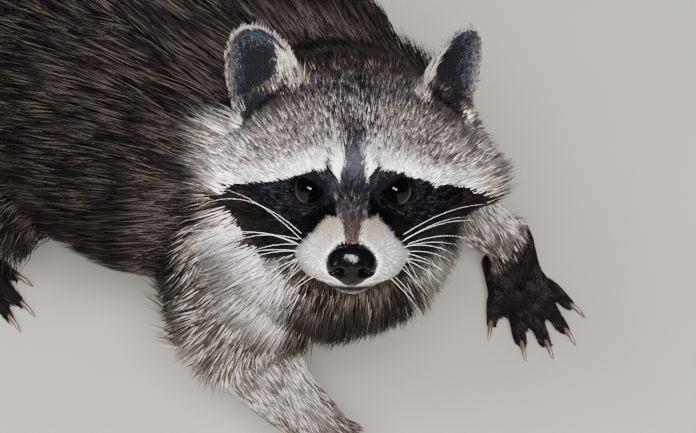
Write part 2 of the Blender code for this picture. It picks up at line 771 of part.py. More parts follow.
def finish(parts):
    """Names each node, gives it its material, and sets its origin in its own middle."""
    for name, obj in parts.items():
        obj.name = name
        for start, colour, roughness in FINISHES:
            if name.startswith(start):
                obj.data.materials.clear()
                obj.data.materials.append(make_material(name, colour, roughness))
        obj.data.shade_smooth()
        obj.data.set_sharp_from_angle(angle=math.radians(50))
        middle = sum((Vector(corner) for corner in obj.bound_box), Vector()) / 8
        obj.data.transform(Matrix.Translation(-middle))
        obj.location = middle


def main():
    clear_scene()
    parts = build_parts()
    centre_on_floor(parts)
    finish(parts)


main()
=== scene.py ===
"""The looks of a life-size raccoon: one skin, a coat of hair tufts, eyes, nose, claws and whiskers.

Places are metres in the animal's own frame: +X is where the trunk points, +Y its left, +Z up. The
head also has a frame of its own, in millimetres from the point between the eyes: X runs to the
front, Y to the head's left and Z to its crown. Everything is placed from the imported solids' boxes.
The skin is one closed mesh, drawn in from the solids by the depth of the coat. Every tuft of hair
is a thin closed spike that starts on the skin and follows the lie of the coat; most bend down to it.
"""

import math

import bmesh
import bpy
import numpy as np
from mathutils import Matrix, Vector
from mathutils.bvhtree import BVHTree
from mathutils.kdtree import KDTree


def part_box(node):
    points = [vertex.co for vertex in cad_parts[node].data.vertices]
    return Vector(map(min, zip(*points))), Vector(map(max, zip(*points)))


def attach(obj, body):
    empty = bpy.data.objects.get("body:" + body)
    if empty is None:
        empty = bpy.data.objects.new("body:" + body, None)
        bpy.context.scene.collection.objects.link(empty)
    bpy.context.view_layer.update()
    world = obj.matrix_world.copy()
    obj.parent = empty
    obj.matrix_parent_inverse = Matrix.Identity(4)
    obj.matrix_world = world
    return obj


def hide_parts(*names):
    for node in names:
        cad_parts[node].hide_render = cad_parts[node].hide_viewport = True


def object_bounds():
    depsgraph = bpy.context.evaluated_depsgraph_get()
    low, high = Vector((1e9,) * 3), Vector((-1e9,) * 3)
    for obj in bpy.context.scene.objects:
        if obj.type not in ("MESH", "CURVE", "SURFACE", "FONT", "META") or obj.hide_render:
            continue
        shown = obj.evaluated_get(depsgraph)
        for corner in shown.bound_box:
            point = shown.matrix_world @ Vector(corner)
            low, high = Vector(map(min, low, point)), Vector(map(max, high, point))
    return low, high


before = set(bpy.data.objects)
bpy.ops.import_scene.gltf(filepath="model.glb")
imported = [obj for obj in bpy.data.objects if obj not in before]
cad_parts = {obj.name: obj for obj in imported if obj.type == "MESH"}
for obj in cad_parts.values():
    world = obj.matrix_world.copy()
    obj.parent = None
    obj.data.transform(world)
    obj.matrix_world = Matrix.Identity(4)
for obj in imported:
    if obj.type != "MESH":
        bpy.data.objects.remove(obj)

CAD_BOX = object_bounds()
MM = 0.001
SIDES = ((1, "left"), (-1, "right"))
LUCK = np.random.default_rng(20)  # one seeded stream for every draw

# ---- The parts of the flesh, in groups that share a kind of coat --------------------------------
GROUPS = (
    "head", "lower_jaw", "ear", "neck", "trunk", "tail",
    "upper_arm", "forearm", "forepaw", "thigh", "shank", "hindpaw",
)
HEAD = ("head", "lower_jaw")
FLESH = [name for name in sorted(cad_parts) if name.startswith(GROUPS)]
CLAWS = [name for name in sorted(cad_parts) if name.startswith("claw")]


def share_of(weights, *names):
    """The share of these groups at every point."""
    return sum(weights[:, GROUPS.index(name)] for name in names)


def blend(table, weights):
    """A table's value for each group, blended by the points' shares."""
    return weights @ np.array([table[name] for name in GROUPS], float)


# ---- How the head is set -------------------------------------------------------------------------
NOSE_DROP = math.radians(22.09)  # seen from the eyes, the nose lies this far below the level
LOOK_DOWN = math.radians(17)  # markings are laid out on the face as it shows from this far above


def middle(name):
    low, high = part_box(name)
    return np.array((low + high) / 2)


def head_axes():
    """Rows: the head's forward, left and crown directions."""
    left = middle("eye_left") - middle("eye_right")
    left /= np.linalg.norm(left)
    ahead = middle("nose") - EYES_MIDDLE
    ahead -= left * (ahead @ left)
    ahead /= np.linalg.norm(ahead)
    crown = np.cross(ahead, left)
    forward = ahead * math.cos(NOSE_DROP) + crown * math.sin(NOSE_DROP)
    return np.array([forward, left, np.cross(forward, left)])


EYES_MIDDLE = (middle("eye_left") + middle("eye_right")) / 2
HEAD_AXES = head_axes()
EYE_RADIUS = float(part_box("eye_left")[1].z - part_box("eye_left")[0].z) / 2 / MM


def to_head(points):
    """Points of the animal's frame, in the head's frame and millimetres."""
    return (np.asarray(points) - EYES_MIDDLE) @ HEAD_AXES.T / MM


def from_head(points):
    return np.asarray(points) * MM @ HEAD_AXES + EYES_MIDDLE


EYE_PLACES = {side: to_head(middle(f"eye_{side}")) for _, side in SIDES}
NOSE_PLACE = to_head(middle("nose"))


# ================================ Small helpers ===================================================
def linear(colour):
    """An sRGB hex colour as linear red, green and blue."""
    parts = np.array([int(colour[i : i + 2], 16) for i in (1, 3, 5)]) / 255
    return np.where(parts <= 0.04045, parts / 12.92, ((parts + 0.055) / 1.055) ** 2.4)


def ramp(low, high, value):
    """0 below low, 1 above high, and a smooth rise between."""
    share = np.clip((np.asarray(value, float) - low) / (high - low), 0, 1)
    return share * share * (3 - 2 * share)


def hill(value, centre, reach):
    """1 at the centre, falling smoothly to nearly nothing at twice the reach."""
    return np.exp(-(((np.asarray(value, float) - centre) / reach) ** 2))


def unit(vectors):
    return vectors / np.maximum(np.linalg.norm(vectors, axis=-1, keepdims=True), 1e-12)


def along_surface(vectors, normals):
    """The part of each vector that lies in the surface, at length one."""
    return unit(vectors - normals * np.sum(vectors * normals, axis=1, keepdims=True))


def points_of(mesh):
    table = np.empty(len(mesh.vertices) * 3)
    mesh.vertices.foreach_get("co", table)
    return table.reshape(-1, 3)


def place_points(mesh, points):
    mesh.vertices.foreach_set("co", np.ascontiguousarray(points).ravel())
    mesh.update()


def normals_of(mesh):
    table = np.empty(len(mesh.vertices) * 3)
    mesh.vertex_normals.foreach_get("vector", table)
    return table.reshape(-1, 3)


def edges_of(mesh):
    table = np.empty(len(mesh.edges) * 2, int)
    mesh.edges.foreach_get("vertices", table)
    return table.reshape(-1, 2)


def triangles_of(mesh):
    mesh.calc_loop_triangles()
    table = np.empty(len(mesh.loop_triangles) * 3, int)
    mesh.loop_triangles.foreach_get("vertices", table)
    return table.reshape(-1, 3)


def blurred(values, edges, rounds, share=0.5):
    """Each value moved towards the mean of its neighbours', so many times."""
    values = np.array(values, float)
    flat = values.reshape(len(values), -1)
    ends, others = np.concatenate([edges, edges[:, ::-1]]).T
    counts = np.maximum(np.bincount(ends, minlength=len(flat)), 1)
    share = np.broadcast_to(share, len(flat))
    for _ in range(rounds):
        for column in range(flat.shape[1]):
            mean = np.bincount(ends, weights=flat[others, column], minlength=len(flat)) / counts
            flat[:, column] += share * (mean - flat[:, column])
    return flat.reshape(values.shape)


def only(obj):
    """Selects this object alone and makes it the active one."""
    bpy.ops.object.select_all(action="DESELECT")
    obj.select_set(True)
    bpy.context.view_layer.objects.active = obj
    return obj


def link_mesh(name, mesh):
    obj = bpy.data.objects.new(name, mesh)
    bpy.context.scene.collection.objects.link(obj)
    return obj


def solid_copy(node, name, swell=0.0):
    """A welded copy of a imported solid, with its faces moved out by swell."""
    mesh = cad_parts[node].data.copy()
    form = bmesh.new()
    form.from_mesh(mesh)
    bmesh.ops.remove_doubles(form, verts=form.verts, dist=1e-6)
    form.normal_update()
    moves = [vert.normal * swell for vert in form.verts]
    for vert, move in zip(form.verts, moves):
        vert.co += move
    form.to_mesh(mesh)
    form.free()
    mesh.materials.clear()
    return link_mesh(name, mesh)


def with_modifier(obj, kind, **settings):
    """Adds a modifier with these settings and applies it."""
    only(obj)
    modifier = obj.modifiers.new(kind.lower(), kind)
    for key, value in settings.items():
        setattr(modifier, key, value)
    bpy.ops.object.modifier_apply(modifier=modifier.name)
    return obj


def settle(obj, material, nodes=()):
    """The last steps for every piece: its finish, its body, and hiding the solids that it stands for."""
    obj.data.materials.clear()
    obj.data.materials.append(material)
    obj.data.shade_smooth()
    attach(obj, "root")
    if nodes:
        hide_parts(*nodes)
    return obj


def tint(mesh, colours):
    """Writes a linear colour to every point, in the attribute that the materials read."""
    layer = mesh.color_attributes.new("tint", "FLOAT_COLOR", "POINT")
    table = np.ones((len(colours), 4))
    table[:, :3] = colours
    layer.data.foreach_set("color", table.ravel())


# ================================ Materials =======================================================
def add_node(tree, kind, settings=None, **inputs):
    """Adds a node; an input is a value, or the output socket that feeds it."""
    node = tree.nodes.new(kind)
    for key, value in (settings or {}).items():
        setattr(node, key, value)
    for key, value in inputs.items():
        socket = node.inputs[key.replace("_", " ")]
        if isinstance(value, bpy.types.NodeSocket):
            tree.links.new(value, socket)
        else:
            socket.default_value = value
    return node


def new_material(name, **shader):
    """A material whose shader has these values. Returns it with its tree and its shader."""
    material = bpy.data.materials.new(name)
    material.use_nodes = True
    tree = material.node_tree
    surface = tree.nodes["Principled BSDF"]
    for key, value in shader.items():
        surface.inputs[key.replace("_", " ")].default_value = value
    return material, tree, surface


def object_place(tree, scale=1.0, location=(0, 0, 0)):
    """Object coordinates, moved and scaled for a pattern."""
    where = add_node(tree, "ShaderNodeTexCoord")
    turned = add_node(tree, "ShaderNodeMapping", Vector=where.outputs["Object"])
    turned.inputs["Scale"].default_value = (scale, scale, scale)
    turned.inputs["Location"].default_value = tuple(-scale * x for x in location)
    return turned.outputs["Vector"]


def in_own_tint(tree, surface, detail_mm, low, high):
    """The points' own tint, made darker and lighter by a fine noise of about this size."""
    place = object_place(tree)
    own = add_node(tree, "ShaderNodeAttribute", {"attribute_name": "tint"})
    noise = add_node(tree, "ShaderNodeTexNoise", Vector=place, Scale=1 / (detail_mm * MM), Detail=3.0)
    ends = {"From_Min": 0.3, "From_Max": 0.7, "To_Min": low, "To_Max": high}
    span = add_node(tree, "ShaderNodeMapRange", Value=noise.outputs["Fac"], **ends)
    mixed = add_node(tree, "ShaderNodeVectorMath", {"operation": "SCALE"}, Scale=span.outputs["Result"])
    tree.links.new(own.outputs["Color"], mixed.inputs[0])
    tree.links.new(mixed.outputs["Vector"], surface.inputs["Base Color"])


def in_tones(tree, surface, value, first, last, between=()):
    """A colour that follows a value, from the first tone at 0 to the last at 1."""
    tones = add_node(tree, "ShaderNodeValToRGB", Fac=value)
    row = tones.color_ramp.elements
    for stop, colour in zip(row, (first, last)):
        stop.color = (*linear(colour), 1)
    for position, colour in between:
        row.new(position).color = (*linear(colour), 1)
    tree.links.new(tones.outputs["Color"], surface.inputs["Base Color"])


def in_patches(tree, surface, patch_mm, first, last, detail=2.0):
    """A colour that wanders between two tones, in patches of about this size."""
    place = object_place(tree)
    noise = add_node(tree, "ShaderNodeTexNoise", Vector=place, Scale=1 / (patch_mm * MM), Detail=detail)
    in_tones(tree, surface, noise.outputs["Fac"], first, last)


def coat_finish():
    """Guard hair: fine keratin, so a soft broad shine along it, and a little lighter and darker."""
    material, tree, surface = new_material("guard_hair", Roughness=0.55, Specular_IOR_Level=0.07)
    in_own_tint(tree, surface, 1.6, 0.84, 1.16)
    return material


def skin_finish():
    """Hide with the first down on it: matt, with the short hair as a fine bump of 0.5 mm grain."""
    material, tree, surface = new_material("downy_hide", Roughness=0.75, Specular_IOR_Level=0.04)
    in_own_tint(tree, surface, 0.9, 0.72, 1.18)
    place = object_place(tree)
    grain = add_node(tree, "ShaderNodeTexNoise", Vector=place, Scale=1 / (0.5 * MM), Detail=2.0)
    depth = {"Distance": 0.25 * MM, "Strength": 0.6}
    bump = add_node(tree, "ShaderNodeBump", Height=grain.outputs["Fac"], **depth)
    tree.links.new(bump.outputs["Normal"], surface.inputs["Normal"])
    return material


def nose_finish():
    """Nose leather: black, always moist, with pebbled plates of about 0.75 mm."""
    shine = {"Roughness": 0.24, "IOR": 1.27, "Coat_Weight": 0.03, "Coat_Roughness": 0.08}
    material, tree, surface = new_material("nose_leather", Specular_IOR_Level=0.5, **shine)
    surface.inputs["Base Color"].default_value = (*linear("#030304"), 1)
    place = object_place(tree)
    cells = add_node(tree, "ShaderNodeTexVoronoi", Vector=place, Scale=1 / (0.75 * MM))
    depth = {"Distance": -0.08 * MM, "Strength": 0.45}
    bump = add_node(tree, "ShaderNodeBump", Height=cells.outputs["Distance"], **depth)
    tree.links.new(bump.outputs["Normal"], surface.inputs["Normal"])
    return material


def claw_finish():
    """Claw horn: dark brown, polished by use, a little paler in places."""
    material, tree, surface = new_material("claw_horn", Roughness=0.34, Specular_IOR_Level=0.5)
    in_patches(tree, surface, 2.5, "#1e1814", "#4b3d31")
    return material


def whisker_finish():
    """Whiskers: thick white keratin with a satin shine, a little greyer in places."""
    material, tree, surface = new_material("whisker_keratin", Roughness=0.35, Specular_IOR_Level=0.5)
    in_patches(tree, surface, 9, "#cfc9c0", "#ffffff")
    return material


IRIS = ((0.40, "#010101"), (0.50, "#030202"), (0.62, "#040302"), (0.70, "#010101"), (0.80, "#020202"))


def eye_finish(side):
    """A wet eye, nearly black: the pupil, an iris a shade browner, and a greyer rim."""
    shine = {"Roughness": 0.02, "IOR": 1.27, "Specular_IOR_Level": 0.5}
    material, tree, surface = new_material(f"wet_eye_{side}", **shine)
    front = from_head(EYE_PLACES[side] + EYE_LOOK[side] * EYE_RADIUS)
    out = add_node(tree, "ShaderNodeVectorMath", {"operation": "LENGTH"})
    tree.links.new(object_place(tree, 1 / (EYE_RADIUS * MM), tuple(front)), out.inputs[0])
    in_tones(tree, surface, out.outputs["Value"], "#020203", "#0d0c0d", IRIS)
    return material


# ================================ The skin ========================================================
SEAM = 0.4 * MM  # the solids are swollen by this much so that the gaps between them close
FINE = 1.35 * MM  # size of the skin's faces where it stays fine
BODY_SHARE = 0.24  # share of the faces that the body keeps under its long coat
DRAW_STEPS = 14  # the skin is drawn in by so many small steps
FOLD_ROUNDS = 150  # how often the folds that this leaves are smoothed

# depth of the coat over each group, in millimetres; the head's is a function of its own
DEPTHS = {
    "head": 6, "lower_jaw": 2.5, "ear": 0.9, "neck": 15, "trunk": 17, "tail": 22,
    "upper_arm": 9, "forearm": 4.5, "forepaw": 0.7, "thigh": 11, "shank": 6, "hindpaw": 0.9,
}


def nose_measure(head):
    """How far out from the nose pad each place is: 1 on its outline."""
    return np.linalg.norm((head - NOSE_PLACE) / (9.5, 12.3, 10.4), axis=1)


def ruff_share(head):
    """How far a place belongs to the long hair at the sides of the face, 0 to 1."""
    return ramp(44, 66, np.abs(head[:, 1])) * ramp(42, 18, head[:, 2]) * ramp(-14, -40, head[:, 0])


def distance(head, places):
    """How far each point is from the nearest of these places."""
    return np.min([np.linalg.norm(head - place, axis=1) for place in places], axis=0)


def eye_distance(head):
    return distance(head, EYE_PLACES.values())


def ear_feet():
    """Where the ears stand on the head."""
    return [to_head(ear["centre"] - ear["up"] * ear["span"]) for ear in EAR_AXES.values()]


def ear_foot(head):
    """How near a place is to the foot of an ear, 0 to 1."""
    return ramp(30, 15, distance(head, ear_feet()))


def ear_dent(head):
    """The hollow in the crown just in front of each ear's foot, 0 to 1."""
    dents = []
    for foot in ear_feet():
        ahead = foot + (10, -np.sign(foot[1]), 0)
        dents.append(hill(np.linalg.norm((head - ahead) * (0.95, 0.85, 0.75), axis=1), 0, 10.5))
    return np.max(dents, axis=0)


def head_depth(head):
    """Depth of the head's coat in millimetres: nothing at the nose, deep at the ruffs and throat."""
    depth = np.interp(head[:, 0], [-80, -50, -20, 0, 12, 34, 56], [13, 8, 5.5, 3.8, 3.0, 2.2, 0.8])
    depth += 9 * ruff_share(head)
    depth += 8 * ramp(-24, -44, head[:, 2]) * ramp(20, -10, head[:, 0])
    depth = depth * (1 - 0.55 * ear_foot(head)) + 9.5 * ear_dent(head)
    near_eye = ramp(22, 12, eye_distance(head))
    return depth * (1 - near_eye) + 1.0 * near_eye


def united_flesh():
    """Every solid of flesh, run together into one fine closed mesh."""
    copies = [solid_copy(name, f"{name}_flesh", SEAM) for name in FLESH]
    bpy.ops.object.select_all(action="DESELECT")
    for copy in copies:
        copy.select_set(True)
    bpy.context.view_layer.objects.active = copies[0]
    bpy.ops.object.join()
    skin = copies[0]
    skin.name = skin.data.name = "skin"
    return with_modifier(skin, "REMESH", mode="VOXEL", voxel_size=FINE)


def nearest_group(points):
    """The index in GROUPS of the solid whose surface is nearest to each point."""
    corners, faces, owners = [], [], []
    for name in FLESH:
        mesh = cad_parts[name].data
        group = next(i for i, start in enumerate(GROUPS) if name.startswith(start))
        own = triangles_of(mesh) + len(corners)
        corners.extend(vert.co for vert in mesh.vertices)
        faces.extend(map(tuple, own.tolist()))
        owners.extend([group] * len(own))
    tree = BVHTree.FromPolygons(corners, faces)
    return np.array([owners[tree.find_nearest(Vector(point))[2]] for point in points])


def group_weights(groups, edges, rounds):
    """A soft share of each group at every point, one column each."""
    table = (groups[:, None] == np.arange(len(GROUPS))).astype(float)
    return blurred(table, edges, rounds)


def draw_in(skin):
    """Shrinks the united flesh by the depth of the coat, smoothing as it goes."""
    mesh = skin.data
    edges = edges_of(mesh)
    points = points_of(mesh)
    groups = nearest_group(points)
    weights = group_weights(groups, edges, 12)
    depth = blend(DEPTHS, weights)
    depth += share_of(weights, *HEAD) * (head_depth(to_head(points)) - DEPTHS["head"])
    depth = blurred(np.clip(depth, 0.3, None), edges, 10)
    softness = np.clip(depth / 9, 0.04, 0.55)
    points = blurred(points, edges, 8, np.clip(softness * 2, 0.1, 0.5))
    place_points(mesh, points)
    outwards = normals_of(mesh)
    for _ in range(DRAW_STEPS):
        place_points(mesh, points)
        points = points - normals_of(mesh) * (depth * MM / DRAW_STEPS)[:, None]
        points = blurred(points, edges, 2, softness)
    place_points(mesh, points)
    # where two forms meet, the skin can be drawn through itself: those folds are smoothed away
    turned = (np.sum(outwards * normals_of(mesh), axis=1) < 0.2) & (depth > 5)
    share = 0.5 * ramp(0.02, 0.2, blurred(turned, edges, 10))
    place_points(mesh, blurred(points, edges, FOLD_ROUNDS, share))
    return groups, depth


def lighten_body(skin, groups):
    """Fewer faces where the coat is long. Returns the places before, to look fields up in."""
    before = points_of(skin.data)
    fine = [GROUPS.index(name) for name in ("head", "lower_jaw", "ear", "forepaw", "hindpaw")]
    band = skin.vertex_groups.new(name="body")
    head = to_head(before)
    coarse = ~np.isin(groups, fine) | ((groups == fine[0]) & (head[:, 0] < -45))
    band.add(np.flatnonzero(coarse).tolist(), 1.0, "REPLACE")
    total = len(groups)
    ratio = 1 - (1 - BODY_SHARE) * coarse.sum() / total
    with_modifier(skin, "DECIMATE", ratio=ratio, vertex_group="body", vertex_group_factor=1.0)
    skin.vertex_groups.clear()
    return before


def looked_up(before, values, points):
    """Each value at the nearest of the places before."""
    tree = KDTree(len(before))
    for index, point in enumerate(before):
        tree.insert(point, index)
    tree.balance()
    nearest = [tree.find(point)[1] for point in points]
    return [value[nearest] for value in values]


def refine(skin, reach, back):
    """Subdivides the faces within reach of an eye and not too far back, in millimetres."""
    head = to_head(points_of(skin.data))
    chosen = (eye_distance(head) < reach) & (head[:, 0] > back)
    form = bmesh.new()
    form.from_mesh(skin.data)
    edges = [edge for edge in form.edges if all(chosen[vert.index] for vert in edge.verts)]
    bmesh.ops.subdivide_edges(form, edges=edges, cuts=1, use_grid_fill=True)
    bmesh.ops.triangulate(form, faces=[face for face in form.faces if len(face.verts) > 4])
    form.to_mesh(skin.data)
    form.free()


# ---- Eyes and their lids -------------------------------------------------------------------------
EYE_TURN = math.radians(6)  # the eyes look this far outwards
EYE_RISE = math.radians(15)  # and this far up
LID_WIDE, LID_UP = 5.7, 5.4  # half the opening, in millimetres
LID_THICK = 0.8
EYE_LOOK = {
    side: np.array(
        [math.cos(EYE_TURN) * math.cos(EYE_RISE), sign * math.sin(EYE_TURN), math.sin(EYE_RISE)]
    )
    for sign, side in SIDES
}


def eye_frame(side):
    """Outwards along the look, towards the outer corner, and upwards, as rows."""
    sign = 1 if side == "left" else -1
    look = unit(EYE_LOOK[side])
    up = unit(np.cross(look, (0, 1.0, 0)))
    return np.array([look, np.cross(up, look) * sign, up])


def lid_measure(head, side):
    """How far out from the eye's opening each place is: 1 on the rim of the lids."""
    own = (head - EYE_PLACES[side]) @ eye_frame(side).T
    wide = np.where(own[:, 1] > 0, LID_WIDE, LID_WIDE + 0.9)  # the inner corner runs to a point
    tall = LID_UP * (1 - 0.16 * np.clip(-own[:, 1] / LID_WIDE, 0, 1))
    return np.hypot(own[:, 1] / wide, own[:, 2] / tall), own


def sculpt_eyes(points):
    """Lays the lids on the eyeballs and drops the skin inside the openings behind them."""
    head = to_head(points)
    for _, side in SIDES:
        measure, own = lid_measure(head, side)
        reach = np.linalg.norm(own, axis=1)
        near = (own[:, 0] > -2) & (measure < 2.6) & (reach < 24)
        fold = EYE_RADIUS + LID_THICK + 0.9 * hill(measure, 1.45, 0.22)
        outside = 1 - ramp(1.25, 2.3, measure)
        wanted = np.where(measure < 0.97, EYE_RADIUS - 1.6, fold)
        share = np.where(measure < 1.0, 1.0, outside)
        moved = reach + (wanted - reach) * share
        grown = own * (moved / np.maximum(reach, 0.1))[:, None]
        head = np.where(near[:, None], grown @ eye_frame(side) + EYE_PLACES[side], head)
    return from_head(head)


def sculpt_mouth(points, normals, jaw):
    """The line of the lips: a shallow crease where the lower jaw meets the head."""
    crease = 4 * jaw * (1 - jaw)
    front = ramp(0, 12, to_head(points)[:, 0])
    return points - normals * (1.3 * MM * crease * front)[:, None]


def build_skin():
    """The whole skin, with the fields that the coat is grown from."""
    skin = united_flesh()
    groups, depth = draw_in(skin)
    before = lighten_body(skin, groups)
    refine(skin, 15, -12)
    refine(skin, 12, -4)
    points = points_of(skin.data)
    groups, depth = looked_up(before, (groups, depth), points)
    edges = edges_of(skin.data)
    jaw = blurred(groups == GROUPS.index("lower_jaw"), edges, 2)
    points = sculpt_mouth(points, normals_of(skin.data), jaw)
    points = sculpt_eyes(points)
    place_points(skin.data, points)
    return skin, groups, depth, edges


# ================================ The lie of the coat =============================================
EAR_HALF = 18 * MM  # half the width of an ear


def ear_axes(side):
    """The ear's middle, and as rows its hollow's direction, its width and its length."""
    points = points_of(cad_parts[f"ear_{side}"].data)
    centre = points.mean(0)
    _, _, rows = np.linalg.svd(points - centre, full_matrices=False)
    length, width, hollow = rows
    length = length * np.sign(length @ HEAD_AXES[2])
    hollow = hollow * np.sign(hollow @ HEAD_AXES[0])
    width = width * np.sign(width @ HEAD_AXES[1]) * (1 if side == "left" else -1)
    span = np.ptp((points - centre) @ length) / 2
    return {"centre": centre, "hollow": hollow, "outer": width, "up": length, "span": span}


def tail_line():
    """Points down the middle of the tail from its root, and how far along each one is, 0 to 1."""
    points = points_of(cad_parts["tail"].data)
    cuts = np.linspace(points[:, 0].max(), points[:, 0].min(), 15)
    line = []
    for front, back in zip(cuts, cuts[1:]):
        slab = points[(points[:, 0] <= front) & (points[:, 0] >= back)]
        line.append((slab.min(0) + slab.max(0)) / 2)
    line = np.array(line)
    lengths = np.concatenate([[0], np.cumsum(np.linalg.norm(np.diff(line, axis=0), axis=1))])
    return line, lengths / lengths[-1]


def along_tail(points):
    """How far down the tail each place is, 0 to 1, and the tail's direction there."""
    line, shares = TAIL_LINE
    order = np.argsort(line[:, 0])
    share = np.interp(points[:, 0], line[order, 0], shares[order])
    slopes = unit(np.gradient(line, axis=0))
    way = np.stack([np.interp(share, shares, slopes[:, axis]) for axis in range(3)], axis=1)
    return share, unit(way)


def limb_ways():
    """Which way the hair points on each group that has one plain direction."""
    ways = {"trunk": np.array([-1.0, 0, -0.22]), "neck": unit(middle("trunk") - EYES_MIDDLE)}
    ways["neck"] = ways["neck"] + np.array([0, 0, -0.55])
    for upper, lower in (("upper_arm", "forearm"), ("forearm", "forepaw"), ("thigh", "shank")):
        steps = [middle(f"{lower}_{side}") - middle(f"{upper}_{side}") for _, side in SIDES]
        ways[upper] = unit(np.mean(steps, axis=0))
    ways["upper_arm"] = ways["upper_arm"] + np.array([-0.85, 0, -0.3])
    ways["shank"] = np.array([-0.55, 0, -1.0])
    ways["forepaw"] = np.array([1.0, -0.2, -0.25])
    ways["hindpaw"] = np.array([1.0, 0, -0.25])
    ways["thigh"] = ways["thigh"] + np.array([-0.4, 0, -0.6])
    return {name: unit(way) for name, way in ways.items()}


def head_way(points):
    """Away from the nose, outwards on the ruffs, and round the eyes away from them."""
    head = to_head(points)
    way = unit(head - (NOSE_PLACE + np.array([6, 0, 2])))
    way[:, 2] += 0.35 * hill(head[:, 1], 0, 16) * ramp(30, 5, head[:, 0])
    side = np.sign(head[:, 1])
    ruff = ruff_share(head)
    way += np.stack([0.1 * ruff, 0.85 * side * ruff, -0.05 * ruff], axis=1)
    under = ramp(-20, -34, head[:, 2])
    way += np.stack([-0.3 * under, 0 * under, -0.4 * under], axis=1)
    way = unit(way)
    for _, name in SIDES:
        from_eye = head - EYE_PLACES[name]
        near = hill(np.linalg.norm(from_eye, axis=1), 6, 7)[:, None]
        way = way * (1 - near) + unit(from_eye) * near
    return unit(way) @ HEAD_AXES


def ear_way(points):
    """Up the ear, leaning out to its rim."""
    way = np.zeros_like(points)
    for ear, mine, _, outer in ear_places(points):
        way += mine[:, None] * unit(ear["up"] + ear["outer"] * (0.35 * outer)[:, None])
    return way


def lie_of_the_coat(points, normals, groups, weights, edges):
    """The direction in which the hair lies at every point of the skin."""
    way = np.zeros_like(points)
    ways = limb_ways()
    for index, name in enumerate(GROUPS):
        here = groups == index
        if name in ways:
            way[here] = ways[name]
        elif name == "tail":
            way[here] = along_tail(points[here])[1]
        elif name == "ear":
            way[here] = ear_way(points[here])
        else:
            way[here] = head_way(points[here])
    flank = np.sign(points[:, 1])[:, None] * np.array([0, 1.0, 0])
    way += 0.12 * flank * share_of(weights, "trunk")[:, None]
    way = blurred(unit(way), edges, 24, 0.6)
    own = head_way(points)
    face = ramp(-40, -10, to_head(points)[:, 0]) * share_of(weights, *HEAD)
    way = unit(way) * (1 - face)[:, None] + own * face[:, None]
    return along_surface(way, normals)


# ================================ Markings ========================================================
# kinds of hair: colour at its root, in its middle and at its tip
HAIRS = {
    "mask": ("#030203", "#050406", "#0a090d"),
    "mask_sheen": ("#060608", "#16161c", "#2b2b34"),
    "mask_end": ("#090707", "#16110f", "#251c19"),
    "stripe": ("#121115", "#2c2a31", "#3d3b43"),
    "saddle": ("#2b211d", "#5c4c44", "#6d5c53"),
    "white": ("#8c8680", "#efece8", "#f9f8f6"),
    "muzzle": ("#efe9e1", "#ffffff", "#ffffff"),
    "peach": ("#dcc0a0", "#f6dabb", "#fbe8d2"),
    "pale_grizzle": ("#342f2f", "#a9a29e", "#c6c2be"),
    "grey_grizzle": ("#221d1d", "#6a615e", "#8a8380"),
    "dark_grizzle": ("#110e0f", "#282425", "#1b1819"),
    "brown_patch": ("#1f1a17", "#554842", "#6d625a"),
    "buff": ("#5c534d", "#bfb6ae", "#d2ccc6"),
    "ochre": ("#332922", "#716052", "#847366"),
    "cheek": ("#595554", "#a9a5a3", "#c1bebc"),
    "dark_body": ("#050404", "#100c0b", "#0a0807"),
    "banded_body": ("#090707", "#2c2624", "#161211"),
    "tipped_body": ("#090707", "#1e1917", "#4a423a"),
    "belly": ("#201b19", "#514741", "#5e544d"),
    "pale_streak": ("#4d4643", "#968f8a", "#aea8a3"),
    "brown_streak": ("#231d1a", "#4d443e", "#5f564f"),
    "leg": ("#0b0908", "#1d1817", "#171211"),
    "paw": ("#050404", "#0c0a09", "#080707"),
    "paw_grey": ("#090707", "#1c1917", "#262220"),
    "ear_back": ("#2d2929", "#6d6765", "#86807e"),
    "ear_hollow": ("#050506", "#0b0b0f", "#121217"),
    "ear_bloom": ("#121318", "#272932", "#3a3d48"),
    "ear_edge": ("#69635f", "#a8a29d", "#bdb8b4"),
    "tail_dark": ("#0a0807", "#191412", "#110d0c"),
    "tail_root": ("#0c0909", "#2a2420", "#41362e"),
    "tail_pale": ("#2f2722", "#6f6156", "#847666"),
    # chin hair: whitish, greyed as painted shade beneath the head
    "chin": ("#77716c", "#b4aea9", "#cbc6c1"),
    # the lid's wet edge: a dark bare margin, greyed as a painted reflection
    "lid_edge_gleam": ("#222124", "#222124", "#222124"),
}
SHADES = {name: np.array([linear(colour) for colour in colours]) for name, colours in HAIRS.items()}


def wobble(points, size_mm, seed=0.0):
    """A smooth random field from -1 to 1, whose patches are about this big."""
    spots = points / (size_mm * MM)
    total = np.zeros(len(points))
    for k, way in enumerate(((1.0, 0.3, -0.4), (-0.5, 1.1, 0.2), (0.3, -0.6, 1.2), (0.9, 0.8, 0.7))):
        bend = 1.3 * np.sin(spots @ np.array(way[::-1]))
        total += np.sin(spots @ np.array(way) + 1.7 * k + seed + bend)
    return total / 4


class Paint:
    """Colours at root, middle and tip of the hairs at some places, painted over layer by layer."""

    def __init__(self, count, name, luck):
        self.levels = np.repeat(SHADES[name][None], count, axis=0)
        self.luck = luck  # one number from 0 to 1 for each hair, or none for the skin's mean colour

    def over(self, name, share):
        """Soft paint: every hair takes this share of the colour."""
        share = np.clip(share, 0, 1)[:, None, None]
        self.levels = self.levels * (1 - share) + SHADES[name][None] * share

    def among(self, name, share, turn=0.0):
        """This share of the hairs is of that kind, and the others stay as they are."""
        share = np.clip(share, 0, 1)
        if self.luck is None:
            return self.over(name, share)
        self.over(name, ((self.luck + turn) % 1.0 < share).astype(float))

    def mix(self, *layers):
        """Layers of kind, share and turn, one over the other. Returns the colours."""
        for name, share, turn in layers:
            self.among(name, share, turn)
        return self.levels


def face_plan(head):
    """Across and up the face in millimetres, as seen from a little above its own level."""
    up = head[:, 2] * math.cos(LOOK_DOWN) - head[:, 0] * math.sin(LOOK_DOWN)
    return head[:, 1], up


